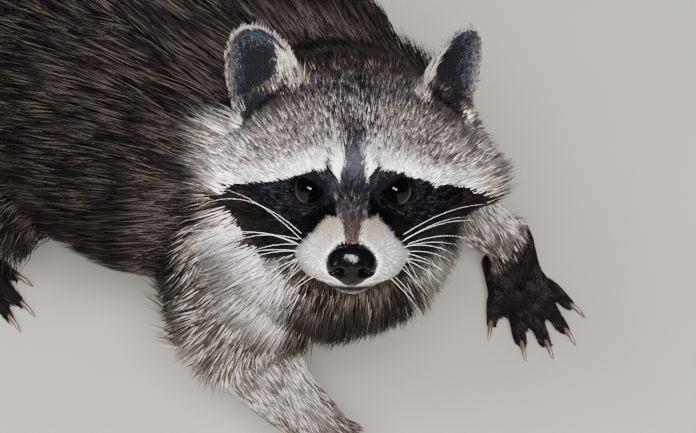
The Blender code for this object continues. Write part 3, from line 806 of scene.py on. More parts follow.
def mask_upper(wide):
    """Height of the upper edge of the mask at each distance from the middle."""
    return np.interp(wide, [6, 11, 20, 27, 40, 52, 62, 70], [4, 9, 8.5, 6.2, 3.4, 2.2, 2.0, 0])


def mask_lower(wide):
    """Height of its lower edge: over the muzzle, down the cheek and up to its outer end."""
    outwards = [4, 8, 11.5, 14, 19, 24, 28, 34, 44, 52, 58, 63, 69]
    heights = [-17, -14.5, -13, -15.5, -21.5, -27.2, -30.7, -33.2, -33.5, -31, -28, -22, -10]
    return np.interp(wide, outwards, heights)


def stripe_half(up):
    """Half the width of the dark stripe that runs from the nose up the forehead."""
    heights = [-30, -24, -18, -10, 0, 6, 12, 20, 29, 38]
    return np.interp(up, heights, [3.6, 3.4, 3.8, 6.0, 8.6, 5.6, 4.7, 4.6, 3.6, 2.2])


def paint_head(points, luck):
    """The face: white muzzle and brows, black mask, dark stripe, grizzled crown and buff ruffs."""
    head = to_head(points)
    across, up = face_plan(head)
    wide = np.abs(across)
    ahead = head[:, 0]
    uneven = 1.5 * wobble(points, 9)
    fine = wobble(points, 4, 3.0)
    front = ramp(-62, -46, ahead)  # the face proper, without the back of the head
    paint = Paint(len(points), "grey_grizzle", luck)
    crown = ramp(28, 50, up)
    paint.among("dark_grizzle", 0.32 + 0.50 * crown + 0.08 * fine)
    paint.among("pale_grizzle", (0.47 - 0.40 * crown) * ramp(-85, -50, ahead) + 0.06 * fine, 0.5)
    paint.among("brown_patch", 0.26 * ramp(18, 30, up) * ramp(70, 40, wide), 0.3)
    patch = hill(wide, 36, 12) * hill(up, 38, 11)
    paint.among("brown_patch", 0.6 * patch, 0.25)
    nape = ramp(-52, -76, ahead) * ramp(8, 24, head[:, 2])
    paint.among("banded_body", 0.75 * nape, 0.1)
    paint.among("tipped_body", 0.35 * nape, 0.6)
    # ruffs, and their tan outer edge
    sides = ramp(-105, -85, ahead)
    ruff = ramp(44, 60, wide + uneven) * ramp(-4, 6, up) * ramp(44, 32, up) * sides
    paint.among("buff", (0.84 + 0.1 * fine) * ruff, 0.15)
    paint.among("ochre", 0.24 * ruff, 0.45)
    paint.among("white", 0.45 * ruff * ramp(-30, -50, across), 0.6)
    paint.among("brown_patch", 0.12 * ruff * ramp(30, 50, across), 0.5)
    paint.among("brown_patch", 0.18 * ruff, 0.75)
    # whitish cheeks under the mask, and the throat: brown hair, darkened further as painted shadow under
    # the chin
    below = mask_lower(wide) - up + 0.5 * uneven
    cheek = ramp(-1, 2, below) * ramp(26, 34, wide) * ramp(-95, -75, ahead)
    paint.among("cheek", 0.92 * cheek, 0.1)
    outer = ramp(63, 72, wide + uneven) * ramp(-36, -18, up) * ramp(36, 20, up) * sides
    paint.among("buff", 0.9 * outer, 0.2)
    paint.among("ochre", 0.55 * outer * ramp(66, 80, wide + uneven), 0.5)
    paint.among("brown_patch", 0.35 * outer, 0.85)
    throat = ramp(-28, -36, head[:, 2]) * ramp(44, 20, ahead)
    throat = throat * ramp(-42, -24, across) * ramp(48, 34, across)
    paint.among("brown_streak", throat, 0.3)
    # painted shadow under the chin: dark hairs over the throat
    paint.among("dark_body", 0.60 * throat * ramp(-85, -40, ahead), 0.8)
    # white brow bands, thick over the eyes and ragged above
    over_mask = up - mask_upper(wide) - 0.5 * uneven
    band = ramp(-1.4, 1.0, over_mask) * ramp(11.5, 14.5, wide) * ramp(68, 52, wide + uneven) * front
    paint.among("white", 0.93 * band * ramp(12.5, 5.0, over_mask + 1.8 * fine), 0.2)
    paint.among("pale_grizzle", 0.45 * band * ramp(18, 9, over_mask), 0.6)
    paint.among("brown_patch", 0.30 * band * ramp(4, 12, over_mask + 1.5 * fine), 0.35)
    paint.among("grey_grizzle", 0.16 * band * ramp(1, 6, over_mask), 0.9)
    dash = hill(wide, 7.4, 2.5) * ramp(0, 5, up) * ramp(22, 9, up) * front
    paint.among("white", 1.3 * dash, 0.7)
    paint.among("peach", 0.45 * dash * ramp(12, 5, up), 0.1)
    notch = hill(wide, 12.2, 1.5) * ramp(0, 4, up) * ramp(17, 9, up) * front
    paint.among("mask", 1.2 * notch, 0.4)
    # white muzzle, peach towards its top, and the chin: whitish hair, greyed as painted shade beneath
    # the head
    muzzle = ramp(-1.6, 1.8, below) * ramp(-6, 2, ahead) * ramp(40, 33, wide)
    paint.over("muzzle", muzzle)
    paint.among("white", 0.45 * muzzle, 0.1)
    paint.among("peach", 1.0 * muzzle * ramp(-31, -17, up) * ramp(25, 12, wide), 0.35)
    # painted shade: the chin is greyed where the head shades it
    chin = ramp(-31, -34, head[:, 2]) * ramp(-4, 6, ahead) * ramp(30, 20, wide)
    paint.over("chin", chin)
    paint.among("grey_grizzle", 0.16 * chin, 0.2)
    paint.among("white", 0.30 * chin, 0.6)
    # painted shade just below the nose: the edge of the lips there is darkened
    lip = ramp(-45.2, -46.8, up) * ramp(20, 11, wide)
    lip = lip * ramp(14, 30, ahead) * ramp(-41, -36, head[:, 2])
    paint.over("dark_grizzle", lip)
    # black mask, browner at its outer ends
    soft = 1 + 2.5 * ramp(34, 52, wide)  # its lower edge is soft on the cheek
    mask = ramp(1.3, -1.1, over_mask) * ramp(1.6, -1.6, below / soft) * ramp(5.0, 9.5, wide)
    mask = mask * ramp(76, 64, wide + uneven) * ramp(-90, -80, ahead)
    paint.among("mask", 1.15 * mask)
    paint.among("mask_sheen", 0.30 * mask * ramp(64, 50, wide), 0.3)
    paint.among("mask_end", 0.9 * mask * ramp(42, 60, wide + uneven), 0.45)
    # the stripe: dark on the forehead, flecked between the eyes, brown above the nose
    half = stripe_half(up)
    edge = wide + 0.6 * uneven + 0.9 * fine
    loose = ramp(12, 26, up)  # the stripe's upper end is mixed into the forehead
    stripe = ramp(half + 3.2 + 3 * loose, half - 2.4, edge) * front
    stripe = stripe * ramp(46, 24, up + 3 * fine) * ramp(-40, -34, up) * (1 - 0.25 * loose)
    paint.among("stripe", 1.15 * stripe, 0.0)
    paint.among("mask", 0.38 * stripe * ramp(14, 24, up), 0.5)
    paint.among("mask", 0.42 * stripe * ramp(10, 4, up) * ramp(-9, -3, up), 0.75)
    paint.among("grey_grizzle", 0.28 * stripe * ramp(0, -6, up) * ramp(-18, -12, up), 0.2)
    paint.among("saddle", 0.9 * stripe * ramp(-10, -16, up), 0.3)
    # bare rims of the lids, and on the skin a grey crescent painted as the reflection on the wet lower
    # edge
    for _, side in SIDES:
        measure, own = lid_measure(head, side)
        rim = ramp(1.40, 1.18, measure) * (own[:, 0] > 0)
        paint.over("mask", rim)
        if luck is None:
            # painted reflection: a thin grey crescent along the wet lid edge, on its outer lower side
            slant = own[:, 1] / LID_WIDE - own[:, 2] / LID_UP
            wet = hill(measure, 1.03, 0.05) * ramp(0.2, 1.0, slant)
            paint.over("lid_edge_gleam", wet * (own[:, 0] > 0))
    paint.over("mask", ramp(1.12, 1.02, nose_measure(head)))
    hollow = ramp(0.26, 0.50, ear_dent(head) + 0.05 * fine)
    paint.over("ear_hollow", np.maximum(hollow, ear_socket(points)))
    return paint.levels


def ear_places(points):
    """For each ear: which places are its own, how high they are, how far out, each -1 to 1."""
    for sign, side in SIDES:
        ear = EAR_AXES[side]
        mine = (to_head(points)[:, 1] * sign > 0).astype(float)
        height = (points - ear["centre"]) @ ear["up"] / ear["span"]
        outer = (points - ear["centre"]) @ ear["outer"] / EAR_HALF
        yield ear, mine, height, outer


def ear_socket(points):
    """The foot of each ear's hollow, where it runs down into the head, 0 to 1."""
    share = np.zeros(len(points))
    for ear, mine, height, outer in ear_places(points):
        front = (points - ear["centre"]) @ ear["hollow"] / MM
        low = mine * ramp(-0.35, -0.60, height) * ramp(-1.24, -1.08, height)
        inside = ramp(-0.55, -0.25, outer) * ramp(0.62, 0.40, outer)
        share += low * inside * ramp(-3, 2, front) * ramp(13, 7, front)
    return share


def paint_ears(points, normals, luck):
    """Ears: charcoal in the hollow, a thin pale rim, cream hair at the inner edge, grey backs."""
    paint = Paint(len(points), "ear_back", luck)
    paint.among("dark_grizzle", np.full(len(points), 0.2))
    for ear, mine, height, outer in ear_places(points):
        facing = normals @ ear["hollow"]
        hollow = ramp(0.05, 0.35, facing) * mine
        paint.over("ear_hollow", hollow)
        rimward = 0.7 * ramp(0.30, 0.65, outer) * ramp(-0.9, -0.3, height)
        bloom = np.maximum(ramp(0.15, 0.75, height), rimward)
        paint.among("ear_bloom", 0.8 * bloom * hollow, 0.3)
        rim = hill(facing, -0.06, 0.20) * ramp(-0.7, -0.1, height + np.abs(outer)) * mine
        rim = rim * np.maximum(ramp(-0.35, 0.0, height), ramp(0.50, 0.75, np.abs(outer)))
        paint.over("ear_edge", 0.95 * rim)
        foot = ramp(-0.45, -0.75, height) * mine
        paint.over("ear_hollow", foot * ramp(-0.75, -0.35, facing))
        inner = ramp(-0.25, -0.75, outer) * ramp(0.85, 0.3, height) * mine * ramp(-0.5, 0.0, facing)
        paint.among("ear_edge", 0.50 * inner * ramp(-0.9, -0.3, height), 0.5)
        paint.among("ochre", 0.45 * inner, 0.1)
        paint.among("ear_hollow", 0.55 * hill(outer, -0.35, 0.22) * ramp(-0.6, 0.0, facing) * mine, 0.75)
        paint.among("brown_patch", 0.7 * inner * ramp(-0.1, -0.7, height), 0.2)
    paint.over("ear_hollow", ear_socket(points))
    return paint.levels


def chest_share(points):
    """How far a place belongs to the pale front: the chest, and the arms but for their backs."""
    share = np.zeros(len(points))
    ragged = 0.011 * wobble(points, 17, 5.0)
    for sign, side in SIDES:
        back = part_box(f"upper_arm_{side}")[0].x
        share += (points[:, 1] * sign > 0) * ramp(back - 0.006, back + 0.046, points[:, 0] + ragged)
    share = share * ramp(CHEST_TOP + 0.015, CHEST_TOP - 0.025, points[:, 2] + ragged)
    return ramp(0.15, 0.95, share)


def paint_body(points, normals, weights, luck):
    """Neck, trunk, legs and tail, each with its own kinds of hair."""
    streak = wobble(points, 14, 2.0)
    chest = chest_share(points)
    cheeks = ramp(-2, -22, to_head(points)[:, 2])
    ones = np.ones(len(points))
    across, up = face_plan(to_head(points))
    # painted shadow beneath the head: under the chin the neck, chest and arms lose pale streaks and take
    # dark hair
    under = ramp(-40, -28, across) * ramp(38, 24, across) * ramp(-38, -46, up) * ramp(-112, -84, up)
    under = under * ramp(-0.8, -0.2, normals @ HEAD_AXES[0])
    low = points[:, 2] + 0.005 * wobble(points, 8)
    shade = 0.012 * ramp(0.0, -0.02, points[:, 1])  # the right forearm stays dark higher up: browner hair, and painted shade

    def kind(base, *layers):
        return Paint(len(points), base, luck).mix(*layers)

    trunk = kind(
        "dark_body",
        ("banded_body", 0.34 + 0.14 * streak, 0.0),
        ("tipped_body", 0.20 * ones, 0.45),
        ("belly", 0.8 * ramp(-0.35, -0.85, normals[:, 2]), 0.2),
        ("brown_streak", 0.85 * chest, 0.1),
        ("pale_streak", (0.31 + 0.2 * streak) * chest * (1 - 0.8 * under), 0.6),
        # painted shadow under the chin
        ("dark_body", 0.60 * under, 0.3),
    )
    neck = kind(
        "dark_body",
        ("banded_body", 0.45 * ones, 0.0),
        ("tipped_body", 0.30 * ones, 0.45),
        ("brown_streak", 0.85 * cheeks, 0.1),
        ("pale_streak", (0.88 + 0.12 * streak) * cheeks * (1 - 0.85 * under), 0.6),
        # painted shadow under the chin
        ("dark_body", 0.80 * under, 0.3),
    )
    arm = kind(
        "dark_body",
        ("banded_body", 0.35 * ones, 0.0),
        ("brown_streak", 0.85 * chest, 0.1),
        ("pale_streak", (0.46 + 0.2 * streak) * chest * (1 - 0.6 * under), 0.6),
    )
    forearm = kind(
        "paw",
        ("brown_streak", 0.80 * ramp(0.018, 0.040, low), 0.1),
        ("pale_streak", 0.74 * ramp(0.026, 0.052, low - shade) * ramp(-0.9, 0.1, normals[:, 0]), 0.6),
    )
    leg = kind("leg", ("banded_body", 0.16 * ones, 0.0))
    paw = kind("paw", ("paw_grey", 0.30 + 0.2 * streak, 0.3))
    share, _ = along_tail(points)
    ring = (share * TAIL_RINGS + 0.05 * streak) % 1.0
    dark = np.maximum(ramp(0.50, 0.60, ring) * ramp(1.0, 0.93, ring), ramp(0.91, 0.95, share))
    tail = kind(
        "tail_pale",
        ("brown_streak", 0.3 * ones, 0.3),
        ("tail_dark", dark, 0.0),
        ("tail_root", 0.9 * ramp(0.13, 0.06, share), 0.2),
    )
    coats = {
        "neck": neck, "trunk": trunk, "tail": tail, "upper_arm": arm, "forearm": forearm,
        "forepaw": paw, "thigh": trunk, "shank": leg, "hindpaw": paw,
    }
    total = np.zeros_like(trunk)
    for name, levels in coats.items():
        total += levels * weights[:, GROUPS.index(name)][:, None, None]
    return total


def markings(points, normals, weights, luck):
    """Colour at root, middle and tip of the hair at each place. luck is None for the skin."""
    head, neck = to_head(points), GROUPS.index("neck")
    face = ramp(-92, -80, head[:, 0]) * ramp(-60, -48, head[:, 2])
    face = face * ramp(84, 76, np.abs(head[:, 1]))
    weights = weights.copy()  # the front of the neck is painted as the head's cheeks
    weights[:, GROUPS.index("head")] += face * weights[:, neck]
    weights[:, neck] *= 1 - face
    levels = paint_body(points, normals, weights, luck)
    levels += paint_head(points, luck) * share_of(weights, *HEAD)[:, None, None]
    levels += paint_ears(points, normals, luck) * share_of(weights, "ear")[:, None, None]
    return levels


# ================================ The coat ========================================================
# length and width of the hair over each group, in millimetres
LENGTHS = {
    "head": 12, "lower_jaw": 7, "ear": 5, "neck": 34, "trunk": 40, "tail": 40,
    "upper_arm": 30, "forearm": 13, "forepaw": 4.0, "thigh": 32, "shank": 15, "hindpaw": 4.5,
}
WIDTHS = {
    "head": 0.62, "lower_jaw": 0.45, "ear": 0.42, "neck": 0.72, "trunk": 0.84, "tail": 0.92,
    "upper_arm": 0.74, "forearm": 0.62, "forepaw": 0.5, "thigh": 0.88, "shank": 0.74, "hindpaw": 0.55,
}
CLEAR = 0.8 * MM  # no hair comes nearer to the floor
ROOTED = 0.35 * MM  # how deep a root sits in the skin
BEND = 0.42  # a tuft is thickest and bends at this share of its length
SHOWN = 0.6  # the share of its length where a tuft shows, which sets its kind
PATCH = 0.003  # size of one tuft's patch on the OFBake map
CORNERS = np.array([(-1.0, -0.35), (1.0, -0.35), (0.0, 0.75)])  # the section of a tuft, across and up


def head_length(head):
    length = np.interp(head[:, 0], [-80, -45, -20, 0, 12, 34, 50], [26, 17, 11, 7.5, 6.0, 4.6, 3.0])
    length += 13 * ruff_share(head)
    lips = ramp(11, 22, np.abs(head[:, 1])) * ramp(14, 26, head[:, 0]) * ramp(50, 40, head[:, 0])
    length += 2.2 * lips
    length += 8 * ramp(-26, -44, head[:, 2]) * ramp(14, -14, head[:, 0])
    length *= (1 - 0.55 * ear_foot(head)) * (1 - 0.5 * ear_dent(head))
    near_eye = ramp(17, 8, eye_distance(head))
    return length * (1 - near_eye) + 2.4 * near_eye


def head_width(head):
    width = np.interp(head[:, 0], [-80, -20, 5, 40], [0.70, 0.48, 0.42, 0.44])
    return width + 0.22 * ruff_share(head)


def ear_length(points, normals):
    """Short all over the ear, but long at the inner edge and the foot of its hollow."""
    length = np.full(len(points), 3.0)
    for ear, mine, height, outer in ear_places(points):
        facing = normals @ ear["hollow"]
        inner = ramp(-0.3, -0.8, outer) * ramp(0.9, 0.3, height) * ramp(-0.4, 0.2, facing)
        length += mine * (8 * inner + 1.6 * ramp(0.2, -0.4, facing))
    return length


def grown_tufts(name, fields, chosen, count, clump_size, clump_pull, bent):
    """One coat piece: tufts rooted all over the chosen triangles of the skin."""
    tris = fields["tris"][chosen]
    corners = fields["points"][tris]
    sides = corners[:, 1:] - corners[:, :1]
    area = np.linalg.norm(np.cross(sides[:, 0], sides[:, 1]), axis=1)
    heaped = np.cumsum(area * fields["density"][tris].mean(1))
    picks = np.searchsorted(heaped, (np.arange(count) + LUCK.random(count)) / count * heaped[-1])
    picks = np.minimum(picks, len(tris) - 1)
    share = LUCK.random((count, 2))
    fold = share.sum(1) > 1
    share[fold] = 1 - share[fold]
    share = np.column_stack([1 - share.sum(1), share])

    def at_root(field):
        return np.einsum("nk,nk...->n...", share, field[tris[picks]])

    roots = at_root(fields["points"])
    normals = unit(at_root(fields["normals"]))
    lie = along_surface(at_root(fields["lie"]), normals)
    across = np.cross(normals, lie)
    uneven = wobble(roots, 11, 1.0)[:, None] * 0.16 + LUCK.normal(0, 0.13, (count, 1))
    lie = unit(lie + across * uneven)
    length = at_root(fields["length"]) * LUCK.uniform(0.72, 1.16, count)
    depth = at_root(fields["depth"]) * LUCK.uniform(0.7, 1.12, count)
    width = at_root(fields["width"]) * LUCK.uniform(0.75, 1.2, count)
    slope = np.clip(depth / length, 0.05, 0.9)
    rise_low = np.clip(1.45 * slope, 0, 0.95)
    rise_high = np.clip(0.50 * slope, 0, 0.9)

    def way_at(rise):
        return lie * np.sqrt(1 - rise**2)[:, None] + normals * rise[:, None]

    reach = (length * MM)[:, None]
    mids = roots + way_at(rise_low) * reach * BEND
    tips = mids + way_at(rise_high) * reach * (1 - BEND)
    # locks: the tips of neighbours lean together
    centres = LUCK.permutation(count)[: max(1, int(count / clump_size))]
    tree = KDTree(len(centres))
    for index, centre in enumerate(centres):
        tree.insert(roots[centre], index)
    tree.balance()
    own = centres[[tree.find(root)[1] for root in roots]]
    pull = clump_pull * LUCK.uniform(0.5, 1.0, (count, 1))
    tips += (tips[own] + 0.25 * (roots - roots[own]) - tips) * pull
    mids += (mids[own] + 0.6 * (roots - roots[own]) - mids) * pull * 0.5
    for spots in (mids, tips):
        spots[:, 2] = np.maximum(spots[:, 2], CLEAR)
    shared = LUCK.random(count)[own]
    luck = np.argsort(np.argsort(0.65 * shared + 0.35 * LUCK.random(count))) / count
    levels = markings(roots + SHOWN * (tips - roots), normals, at_root(fields["weights"]), luck)
    lighter = LUCK.random((count, 1, 1)) + shared[:, None, None] - 1
    levels = levels * (1 + 0.26 * lighter)
    roots = roots - normals * ROOTED
    patches = at_root_of_map(fields, chosen, picks, share)
    return tuft_mesh(name, (roots, mids, tips), normals, width * MM, levels, patches, bent)


def at_root_of_map(fields, chosen, picks, share):
    """The place of each root on an unwrap of this piece's own stretch of skin."""
    tris = fields["tris"][chosen]
    used, renamed = np.unique(tris, return_inverse=True)
    mesh = bpy.data.meshes.new("unwrap")
    mesh.from_pydata(fields["points"][used].tolist(), [], renamed.reshape(-1, 3).tolist())
    stretch = only(link_mesh("unwrap", mesh))
    bpy.ops.object.mode_set(mode="EDIT")
    bpy.ops.mesh.select_all(action="SELECT")
    bpy.ops.uv.smart_project(angle_limit=math.radians(70), island_margin=0.004)
    bpy.ops.object.mode_set(mode="OBJECT")
    table = np.empty(len(mesh.loops) * 2)
    mesh.uv_layers.active.data.foreach_get("uv", table)
    bpy.data.objects.remove(stretch)
    bpy.data.meshes.remove(mesh)
    return np.einsum("nk,nkc->nc", share, table.reshape(-1, 3, 2)[picks])


def tuft_mesh(name, line, normals, width, levels, patches, bent):
    """Closed three-sided hairs in one mesh: spindles of six faces if bent, else spikes of four."""
    roots, mids, tips = line
    count = len(roots)
    way = unit(tips - roots)
    lift = along_surface(normals, way)
    side = np.cross(lift, way)
    section = [(side * a + lift * b) * (width / 2)[:, None] for a, b in CORNERS]
    if bent:
        spots = np.stack([mids + corner for corner in section] + [tips, roots], axis=1)
        faces = [(j, (j + 1) % 3, 3) for j in range(3)] + [((j + 1) % 3, j, 4) for j in range(3)]
        shades = levels[:, [1, 1, 1, 2, 0]]
        spread = np.array([(-0.5, 0), (0, 0), (0.5, 0), (0, 0.5), (0, -0.5)])
    else:
        spots = np.stack([roots + corner for corner in section] + [tips], axis=1)
        faces = [(j, (j + 1) % 3, 3) for j in range(3)] + [(2, 1, 0)]
        base = 0.4 * levels[:, 0] + 0.6 * levels[:, 1]
        shades = np.stack([base, base, base, 0.3 * levels[:, 1] + 0.7 * levels[:, 2]], axis=1)
        spread = np.array([(-0.5, -0.5), (0.5, -0.5), (0, 0), (0, 0.5)])
    size = len(spread)
    pattern = np.array(faces).ravel()
    mesh = bpy.data.meshes.new(name)
    mesh.vertices.add(count * size)
    mesh.vertices.foreach_set("co", spots.ravel())
    corners = (pattern[None] + size * np.arange(count)[:, None]).ravel()
    mesh.loops.add(len(corners))
    mesh.loops.foreach_set("vertex_index", corners.astype(np.int32))
    mesh.polygons.add(len(corners) // 3)
    mesh.polygons.foreach_set("loop_start", np.arange(0, len(corners), 3, dtype=np.int32))
    mesh.update(calc_edges=True)
    tint(mesh, np.clip(shades.reshape(-1, 3), 0, 1))
    layer = mesh.uv_layers.new(name="OFBake")
    places = patches[:, None] + PATCH * spread[None][:, pattern]
    layer.data.foreach_set("uv", places.ravel())
    return link_mesh(name, mesh)


def coat_fields(skin, groups, depth, edges):
    """All that the tufts need to know at every point of the skin."""
    mesh = skin.data
    points = points_of(mesh)
    normals = normals_of(mesh)
    weights = group_weights(groups, edges, 14)
    head = to_head(points)
    heads = share_of(weights, *HEAD)
    fields = {"points": points, "normals": normals, "weights": weights, "tris": triangles_of(mesh)}
    length = blend(LENGTHS, weights)
    length += heads * (head_length(head) - LENGTHS["head"])
    length += share_of(weights, "ear") * (ear_length(points, normals) - LENGTHS["ear"])
    width = blend(WIDTHS, weights)
    width += heads * (head_width(head) - WIDTHS["head"])
    length *= 1 - 0.25 * ramp(0.85, 1.0, along_tail(points)[0]) * share_of(weights, "tail")
    jowl = ruff_share(head) * ramp(-36, -22, head[:, 2]) * ramp(44, 26, head[:, 2]) * heads
    fields["length"] = np.maximum(length, 1.6) + 7 * jowl
    fields["width"] = np.maximum(width, 0.35)
    fields["depth"] = np.maximum(depth, 0.5) + 13 * jowl
    fields["lie"] = lie_of_the_coat(points, normals, groups, weights, edges)
    paws = share_of(weights, "forepaw", "hindpaw")
    density = 1 + 3.0 * paws
    for _, side in SIDES:
        measure, own = lid_measure(head, side)
        density[(measure < 1.17) & (own[:, 0] > -1)] = 0
    density[nose_measure(head) < 0.97] = 0
    density[(paws > 0.5) & (normals[:, 2] < -0.45)] = 0
    fields["density"] = density
    return fields


def coat_plan(groups, head):
    """Each coat piece: name, points that grow it, tufts, size and pull of its locks, bent, slot."""

    def near(*names):
        return np.isin(groups, [GROUPS.index(name) for name in names])

    heads = near(*HEAD)
    ahead, across, up = head.T
    under = heads & (up < -34) & (ahead < 4)
    cheeks = heads & ~under & (ahead < -4) & (np.abs(across) > 40) & (up < 26)
    muzzle = heads & ~under & (ahead > 6)
    mask = heads & ~under & ~cheeks & ~muzzle & (ahead > -26) & (up < 34)
    crown = heads & ~(under | cheeks | muzzle | mask)
    rump, shoulders = SPANS <= 1 / 3, SPANS > 2 / 3
    return (
        ("coat_muzzle", muzzle, 44000, 5, 0.25, False, "fur_head"),
        ("coat_mask", mask, 31200, 6, 0.30, True, "fur_head"),
        ("coat_crown", crown, 30000, 7, 0.40, True, "fur_head"),
        ("coat_cheek_left", cheeks & (across > 0), 15000, 8, 0.34, True, "fur_head"),
        ("coat_cheek_right", cheeks & (across < 0), 15000, 8, 0.34, True, "fur_head"),
        ("coat_ears", near("ear"), 22000, 5, 0.30, False, "fur_ear"),
        ("coat_neck", near("neck") | under, 22500, 12, 0.38, True, "fur_body"),
        ("coat_shoulders", near("trunk") & shoulders, 19000, 20, 0.55, True, "fur_body"),
        ("coat_loins", near("trunk") & ~rump & ~shoulders, 16800, 24, 0.60, True, "fur_body"),
        ("coat_rump", near("trunk") & rump, 15000, 24, 0.60, True, "fur_body"),
        ("coat_forelegs", near("upper_arm", "forearm", "forepaw"), 16500, 14, 0.45, True, "fur_body"),
        ("coat_hindlegs", near("thigh", "shank", "hindpaw"), 12500, 14, 0.45, True, "fur_body"),
        ("coat_tail", near("tail"), 12500, 20, 0.55, True, "fur_tail"),
    )


# ================================ Eyes, nose, whiskers, claws =====================================
CORNEA = 0.9  # how far the clear front of the eye bulges, in millimetres


def build_eye(side):
    """An eyeball with the bulge of the cornea on its front."""
    bpy.ops.object.select_all(action="DESELECT")
    bpy.ops.mesh.primitive_uv_sphere_add(segments=64, ring_count=40, radius=EYE_RADIUS * MM)
    eye = bpy.context.object
    eye.name = eye.data.name = f"eyeball_{side}"
    ball = points_of(eye.data) / MM
    rows = eye_frame(side)
    turned = ball[:, [2, 0, 1]]  # the sphere's pole becomes the look
    turned[:, 0] += CORNEA * ramp(5.2, 0, np.hypot(turned[:, 1], turned[:, 2])) * (turned[:, 0] > 0)
    turned[:, 0] -= CORNEA * 0.5
    place_points(eye.data, from_head(turned @ rows + EYE_PLACES[side]))
    if side == "right":
        eye.data.flip_normals()
    eye.location = (0, 0, 0)
    return settle(eye, eye_finish(side), [f"eye_{side}"])


def build_nose():
    """Nose leather: the pad with its two comma-shaped nostrils and the groove between them."""
    nose = solid_copy("nose", "nose_pad")
    with_modifier(nose, "REMESH", mode="VOXEL", voxel_size=0.35 * MM)
    edges = edges_of(nose.data)
    head = to_head(blurred(points_of(nose.data), edges, 14))
    own = head - NOSE_PLACE
    wide = np.abs(own[:, 1])
    front = ramp(-2, 3, own[:, 0])
    hole = hill(wide, 5.2, 2.0) * hill(own[:, 2], -2.8, 1.8) * front
    slit = hill(wide, 8.6, 2.6) * hill(own[:, 2], -4.2 + 0.10 * (wide - 6), 1.0)
    slit = slit * ramp(-5, 0, own[:, 0])
    groove = hill(wide, 0, 0.8) * ramp(1.5, -1.5, own[:, 2]) * front
    wing = hill(wide, 8.0, 2.4) * hill(own[:, 2], 0.0, 2.6) * front
    head[:, 0] -= 4.6 * np.clip(hole * 1.25, 0, 1) + 2.0 * slit + 0.9 * groove - 0.6 * wing
    head[:, 0] += 0.10 * wobble(from_head(own), 0.35)
    head[:, 1] += 1.3 * np.sign(own[:, 1]) * hill(own[:, 2], -5.5, 3.0) * hill(wide, 7, 4)
    place_points(nose.data, from_head(blurred(head, edges, 2, 0.4)))
    return settle(nose, nose_finish(), ["nose"])


def tapered_hairs(name, lines, width_mm, sides=5):
    """Round hairs that taper to a point, each along its own line of points, in one mesh."""
    form = bmesh.new()
    angles = 2 * math.pi * np.arange(sides) / sides
    for line in lines:
        line = np.array(line)
        ways = unit(np.gradient(line, axis=0))
        aside = unit(np.cross(ways, (0.13, 0.2, 1.0)))
        lift = np.cross(aside, ways)
        rings = []
        for step, (spot, a, b) in enumerate(zip(line[:-1], aside, lift)):
            radius = width_mm * MM / 2 * (1 - 0.86 * step / (len(line) - 1))
            spokes = [b * math.cos(t) + a * math.sin(t) for t in angles]
            rings.append([form.verts.new(spot + radius * spoke) for spoke in spokes])
        tip = form.verts.new(line[-1])
        form.faces.new(rings[0])
        for lower, upper in zip(rings, rings[1:]):
            for i in range(sides):
                j = (i + 1) % sides
                form.faces.new((lower[i], lower[j], upper[j], upper[i]))
        for i in range(sides):
            form.faces.new((rings[-1][i], rings[-1][(i + 1) % sides], tip))
    bmesh.ops.recalc_face_normals(form, faces=form.faces)
    mesh = bpy.data.meshes.new(name)
    form.to_mesh(mesh)
    form.free()
    return link_mesh(name, mesh)


def whisker_line(start, out, length, droop, steps=12):
    """A springy hair: it leaves the lip outwards, arches and droops under its own weight."""
    line = [np.array(start, float)]
    way = unit(np.array(out, float))
    step = length / steps
    for k in range(steps):
        way = unit(way + np.array([-0.02, 0, -droop * (0.3 + 1.4 * k / steps)]) * step / 6)
        line.append(line[-1] + way * step)
    return line


WHISKERS = 10  # on each lip, in a fan from upwards along the mask to downwards past the chin
WHISKER_WIDE = 0.145  # in millimetres
PAST_BOX = 0.016  # how far a whisker may reach past the solids' box
SIDE_REACH = 79  # and how far to the side of the head, in millimetres


def within_reach(line):
    """Whether a whisker stays within a little of the solids' box, and clear of the shoulders."""
    low, high = np.array(CAD_BOX[0]) - PAST_BOX, np.array(CAD_BOX[1]) + PAST_BOX
    inside = np.all(line > low) and np.all(line < high)
    return bool(inside and np.all(np.abs(to_head(line)[:, 1]) < SIDE_REACH))


def build_whiskers(skin_tree):
    """A fan of whiskers on each lip, and fine short ones on the chin."""
    lines = []
    for sign, _ in SIDES:
        for place in range(WHISKERS):
            turn = place / (WHISKERS - 1)
            start = (24 + 12 * (place * 0.62 % 1), 27 * sign, -12 - 14 * turn)
            length = (46 + 18 * math.sin(math.pi * (0.15 + 0.75 * turn))) * LUCK.uniform(0.75, 1.2)
            out = np.array((0.30, sign, 0.95 - 1.2 * turn)) + LUCK.normal(0, 0.13, 3)
            lines.append((start, out, length, LUCK.uniform(0.07, 0.17) + 0.12 * turn))
        for place in range(5):
            start = (36 - 6 * place, (14 + 2.5 * place) * sign, -28)
            out = np.array((0.2, 0.9 * sign, -0.7 - 0.1 * place)) + LUCK.normal(0, 0.12, 3)
            lines.append((start, out, 24 * LUCK.uniform(0.7, 1.2), 0.10))
    made = []
    for start, out, length, droop in lines:
        spot = skin_tree.find_nearest(Vector(from_head(start)))[0]
        root = to_head(np.array(spot)) - 0.4 * unit(out)
        line = from_head(np.array(whisker_line(root, out, length, droop)))
        while not within_reach(line):
            length *= 0.93
            line = from_head(np.array(whisker_line(root, out, length, droop)))
        made.append(line)
    return settle(tapered_hairs("whiskers", made, WHISKER_WIDE), whisker_finish())


def build_claws(material):
    """Each claw keeps its solid's place, rounded off."""
    for name in CLAWS:
        claw = solid_copy(name, f"{name}_horn", 0.15 * MM)
        with_modifier(claw, "SUBSURF", levels=2, render_levels=2)
        settle(claw, material, [name])


